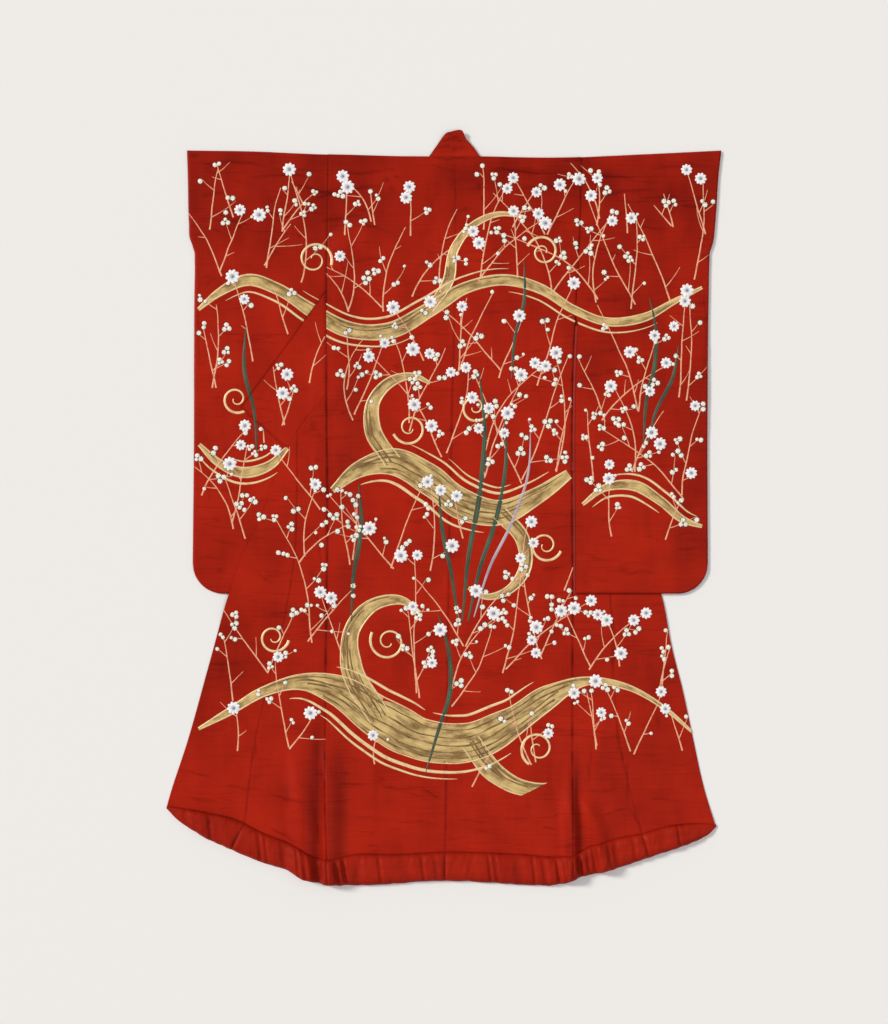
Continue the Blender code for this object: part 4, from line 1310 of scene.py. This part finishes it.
def petal_ring(petals, length, breadth, away, rise):
    """A ring of domed petals: one is raised from a disc, shaped, and spun round the heart."""
    bpy.ops.object.select_all(action="DESELECT")
    bpy.ops.mesh.primitive_circle_add(vertices=8, radius=1, fill_type="TRIFAN", location=(0, 0, 0))
    piece = bpy.context.object
    bpy.ops.object.mode_set(mode="EDIT")
    bpy.ops.mesh.select_mode(type="VERT")
    bpy.ops.mesh.select_all(action="DESELECT")
    edit = bmesh.from_edit_mesh(piece.data)
    for vertex in edit.verts:
        vertex.select = vertex.co.length < 0.1
    edit.select_flush_mode()
    bmesh.update_edit_mesh(piece.data)
    bpy.ops.transform.translate(value=(0, 0.15, rise))
    bpy.ops.mesh.select_all(action="SELECT")
    bpy.ops.transform.resize(value=(breadth, length, 1))
    bpy.ops.transform.translate(value=(0, away, 0))
    if petals > 1:
        bpy.ops.mesh.spin(steps=petals, dupli=True, angle=2 * math.pi, center=(0, 0, 0),
                          axis=(0, 0, 1))
        bpy.ops.mesh.select_all(action="SELECT")
        bpy.ops.mesh.remove_doubles(threshold=1e-5)
    bpy.ops.object.mode_set(mode="OBJECT")
    return shape_of(piece)


def joined(*shapes):
    """Several shapes as one."""
    points = np.vstack([shape[0] for shape in shapes])
    faces, start = [], 0
    for shape in shapes:
        faces += [tuple(start + corner for corner in face) for face in shape[1]]
        start += len(shape[0])
    return points, faces


def stitch(stitches, shape, across, down, size, turn, raised=0.6 * MM):
    """Sews one motif on the cloth, turned and sized, on the height of each of its points."""
    points, faces, cut = stitches
    unit, corners = shape
    c, s = math.cos(turn), math.sin(turn)
    place = np.column_stack((unit[:, 0] * c - unit[:, 1] * s, unit[:, 0] * s + unit[:, 1] * c)) * size
    heights = np.array([ground(across + x, down + y) for x, y in place])
    if np.isnan(heights).any() or np.ptp(heights) > STEP_LIMIT:
        return False
    start = len(points)
    for (x, y), height, (u, v, z) in zip(place, heights, unit):
        points.append((across + x + ACROSS_AT_ORIGIN, DOWN_AT_ORIGIN - down - y,
                       height + raised + z * size))
        cut.append((u, v))
    faces.extend(tuple(start + corner for corner in face) for face in corners)
    return True


aster = joined(petal_ring(9, 0.42, 0.27, 0.58, 0.13), petal_ring(1, 0.22, 0.22, 0, 0.16))
small_aster = joined(petal_ring(7, 0.40, 0.30, 0.52, 0.16), petal_ring(1, 0.25, 0.25, 0, 0.2))
bud = petal_ring(1, 1, 0.92, 0, 0.5)
calyx = petal_ring(3, 0.42, 0.16, 0.5, 0.1)
outlining = petal_ring(1, 1.13, 1.05, 0, 0.05)

# Where plants stand: (across, down, first stem's length, lean in degrees, stems)
PLANTS = [
    (-590, 170, 120, 10, 1), (-530, 150, 110, -12, 1), (-400, 180, 140, 16, 2), (-350, 110, 80, -10, 1),
    (-560, 290, 150, -12, 2), (-440, 270, 170, 10, 2), (-360, 310, 200, 22, 1),
    (-570, 560, 170, 8, 2), (-480, 500, 150, -14, 1), (-400, 430, 110, -30, 1), (-600, 820, 150, 14, 1),
    (-530, 900, 180, 6, 2), (-450, 700, 160, 12, 2), (-500, 930, 120, -8, 1), (-340, 1180, 240, 8, 2),
    (-440, 1260, 200, -6, 2), (-530, 1330, 170, -14, 1), (-360, 980, 190, 6, 2), (-390, 1440, 150, 8, 2),
    (-510, 1440, 120, -10, 1), (-320, 860, 150, -14, 1), (-410, 650, 110, 12, 2), (-350, 560, 120, 24, 1),
    (-260, 190, 130, 14, 1), (-180, 170, 120, -10, 2), (-90, 190, 130, 10, 1), (80, 190, 130, -8, 1),
    (150, 170, 120, 12, 1), (240, 190, 140, -6, 2),
    (-250, 380, 230, 10, 2), (-170, 380, 230, -16, 2), (-90, 340, 210, 12, 1), (-30, 330, 230, -8, 1),
    (70, 290, 180, 14, 2), (160, 290, 190, -10, 1), (250, 330, 210, 6, 2), (-230, 640, 190, -6, 2),
    (-100, 660, 200, 10, 2), (-10, 720, 260, -10, 2), (80, 780, 280, 8, 2), (170, 800, 290, -8, 2),
    (260, 760, 280, 4, 2), (-240, 990, 190, 8, 2), (-140, 1010, 210, -10, 2), (-50, 1020, 160, 12, 1),
    (30, 1190, 230, -8, 2), (130, 1250, 220, 12, 2), (220, 1220, 240, -6, 2), (280, 1060, 170, 4, 1),
    (-260, 1230, 150, -10, 1), (-90, 1310, 230, -4, 2), (-10, 1350, 200, 12, 2), (-190, 1480, 90, -12, 1),
    (60, 1530, 100, 10, 1), (200, 1470, 130, -16, 2), (30, 930, 120, 6, 1), (20, 520, 190, 4, 2),
    (120, 520, 200, -14, 2), (210, 560, 200, 10, 1), (-250, 560, 130, 14, 1), (-60, 480, 110, -20, 1),
    (360, 160, 120, -8, 2), (430, 180, 110, 14, 1), (540, 170, 130, -10, 2), (620, 190, 130, 4, 1),
    (350, 350, 220, -8, 2), (440, 370, 220, 8, 2), (530, 350, 210, -12, 1), (590, 300, 180, -6, 1),
    (370, 640, 210, 6, 2), (460, 620, 200, -10, 2), (570, 600, 210, 10, 2), (350, 790, 140, -6, 1),
    (450, 770, 150, 12, 2), (560, 830, 210, -8, 2), (400, 930, 110, -20, 1), (530, 930, 90, 10, 1),
    (340, 1250, 170, 6, 2), (420, 1260, 160, -8, 1), (510, 1320, 200, 12, 2), (350, 1440, 130, -10, 2),
    (450, 1450, 150, 8, 2), (560, 1450, 120, -4, 1),
]
# The plants run on over the end of the collar, which the streams leave bare
grounds["collar"] = (*grounds["collar"][:3], True)
stems, blossoms, buds, calyxes = no_stitches(4)
blooms, tips = [], []
# The share of stem ends without blossoms, in thousandths, by the distance down
THINNED = curve([(0, 420), (500, 330), (640, 60), (1150, 60), (1300, 200), (1700, 200)])
for across, down, length, lean, count in PLANTS:
    for stem in range(count):
        heading = math.radians(-90 + lean + rng.uniform(-20, 20) + (stem - (count - 1) / 2) * 30)
        bend = rng.normal(0, 1.6)
        size = length * MM * rng.uniform(0.9, 1.5) * (1 - 0.15 * stem)
        root = (across * MM + rng.normal(0, 6 * MM), down * MM + rng.normal(0, 6 * MM))
        main, width = grown(root, heading, size, bend, STEM_WIDTH)
        if len(main) < 6:
            continue
        size = len(main) * STEM_STEP
        ribbon(stems, main, width, 0.9 * MM, 3)
        tips.append((main[-1], 1.0))
        at, side = rng.uniform(30, 60) * MM, 1
        while at < size - 12 * MM:
            here = min(int(at / STEM_STEP), len(main) - 2)
            towards = main[here + 1] - main[here]
            turn = math.atan2(towards[1], towards[0]) + side * math.radians(rng.uniform(32, 62))
            reach = rng.uniform(16, 105) * MM * (1 - 0.4 * at / size)
            twig, width = grown(main[here], turn, reach, -side * rng.uniform(1, 6), 0.62 * STEM_WIDTH)
            side = -side
            at += rng.uniform(34, 82) * MM
            if len(twig) < 3:
                continue
            ribbon(stems, twig, width, 0.8 * MM, 3)
            tips.append((twig[-1], 0.3))
            if len(twig) > 9:
                tips.append((twig[len(twig) // 2], 0))
for (across, down), large in tips:
    if rng.random() < THINNED(down):
        continue
    if rng.random() < large * 0.85:
        for _ in range(rng.integers(1, 3)):
            radius = rng.uniform(13, 18) * MM
            x, y = across + rng.normal(0, 9 * MM), down + rng.normal(0, 9 * MM)
            if is_open(x, y, radius) and stitch(blossoms, aster, x, y, radius,
                                                rng.uniform(0, 6.28), 0.8 * MM):
                blooms.append((x, y, radius))
    first = rng.uniform(0, 6.28)
    for number in range(rng.integers(1, 4)):
        radius = rng.uniform(3.8, 7.6) * MM
        angle = first + number * 2.1
        x, y = across + 1.05 * radius * math.cos(angle), down + 1.05 * radius * math.sin(angle)
        if not is_open(x, y, radius):
            continue
        open_bud = radius > 6.4 * MM
        turn = rng.uniform(0, 6.28)
        if stitch(buds, small_aster if open_bud else bud, x, y, radius, turn):
            stitch(calyxes, outlining, x, y, radius, turn, 0.25 * MM)
            blooms.append((x, y, radius * 0.9))
            stitch(calyxes, calyx, x - 0.75 * radius * math.cos(angle),
                   y - 0.75 * radius * math.sin(angle), 0.62 * radius, angle, 0.9 * MM)


def floss_white(name):
    """Flat-stitched white floss, shaded blue-grey towards the heart of each blossom."""
    material = thread(name, (0.98, 0.94, 0.90), (0.78, 0.76, 0.79), 0.5, 0, (9, 9, 1), (1.4, 1.4, 1))
    tree = material.node_tree
    shader = tree.nodes["Principled BSDF"]
    reach = tree.nodes.new("ShaderNodeVectorMath")
    reach.operation = "LENGTH"
    tree.links.new(by_cut(tree), reach.inputs[0])
    ramp = tree.nodes.new("ShaderNodeValToRGB")
    tree.links.new(reach.outputs["Value"], ramp.inputs["Fac"])
    stops = ramp.color_ramp.elements
    stops[0].position, stops[0].color = 0.0, (0.33, 0.30, 0.22, 1)
    stops[1].position, stops[1].color = 0.5, (1, 1, 1, 1)
    for position, colour in ((0.15, (0.27, 0.29, 0.33, 1)), (0.26, (0.62, 0.66, 0.72, 1))):
        stops.new(position).color = colour
    mix, first, second, result = colour_mix(tree, "MULTIPLY")
    mix.inputs[0].default_value = 1
    tree.links.new(shader.inputs["Base Color"].links[0].from_socket, first)
    tree.links.new(ramp.outputs["Color"], second)
    tree.links.new(result, shader.inputs["Base Color"])
    return material


salmon_gold = thread("Salmon gold thread", (0.88, 0.47, 0.28), (0.50, 0.16, 0.07), 0.5, 0.1,
                     (300, 900, 1), (55, 20, 1), 0.58)
bud_floss = thread("Ivory floss", (0.97, 0.91, 0.82), (0.72, 0.61, 0.45), 0.5, 0,
                   (7, 7, 1), (1.2, 1.2, 1), 0.55)
dark_floss = thread("Dark floss", (0.035, 0.05, 0.022), (0.012, 0.014, 0.01), 0.6, 0,
                    (9, 9, 1), (2, 2, 1))
sewn("aster_stems", stems, salmon_gold, "gold_thread", 0.5 * SCRAP)
sewn("aster_blossoms", blossoms, floss_white("White floss"), "pale_floss")
sewn("aster_buds", buds, bud_floss, "pale_floss")
sewn("aster_calyxes", calyxes, dark_floss, "dark_floss")

# Reed blades: (across, down, width) from the root to the tip
BLADES = [
    [(30, 1130, 4), (44, 980, 11), (72, 820, 14), (84, 660, 11), (70, 520, 3)],
    [(44, 1130, 4), (70, 1010, 10), (112, 880, 12), (136, 740, 9), (132, 620, 2)],
    [(20, 1136, 4), (4, 1020, 9), (-20, 900, 10), (-28, 800, 2)],
    [(-240, 1130, 3), (-236, 1030, 9), (-216, 900, 11), (-222, 790, 2)],
    [(470, 700, 3), (476, 600, 9), (498, 500, 11), (500, 420, 8), (484, 340, 2)],
    [(480, 700, 3), (500, 620, 8), (540, 540, 9), (556, 460, 2)],
    [(-470, 720, 3), (-476, 620, 8), (-500, 520, 10), (-496, 410, 2)],
    [(150, 540, 3), (156, 450, 8), (180, 350, 9), (180, 250, 2)],
    [(-60, 1500, 3), (-30, 1400, 9), (0, 1300, 12), (-6, 1190, 9), (-30, 1110, 2)],
]
MIST_BLADE = [(58, 1120, 3), (96, 1000, 7), (150, 890, 8), (190, 770, 6), (196, 660, 2)]
blades, blade_veins, mist = no_stitches(3)
for rows in BLADES:
    path, width = swept(rows, 6 * MM)
    ribbon(blades, path, width, 1.2 * MM, 5)
    ribbon(blade_veins, path, width * 0.16, 1.7 * MM, 3)
path, width = swept(MIST_BLADE, 6 * MM)
ribbon(mist, path, width, 1.1 * MM, 5)
for name, stitches, floss, light, shade, slot in (
        ("reed_blades", blades, "Green floss", (0.045, 0.10, 0.045), (0.012, 0.03, 0.014), "dark_floss"),
        ("reed_veins", blade_veins, "Olive floss", (0.30, 0.30, 0.12), (0.12, 0.13, 0.05), "dark_floss"),
        ("mist_blade", mist, "Lilac floss", (0.52, 0.45, 0.50), (0.32, 0.25, 0.30), "pale_floss")):
    sewn(name, stitches, thread(floss, light, shade, 0.5, 0, (60, 1300, 1), (12, 80, 1)), slot)
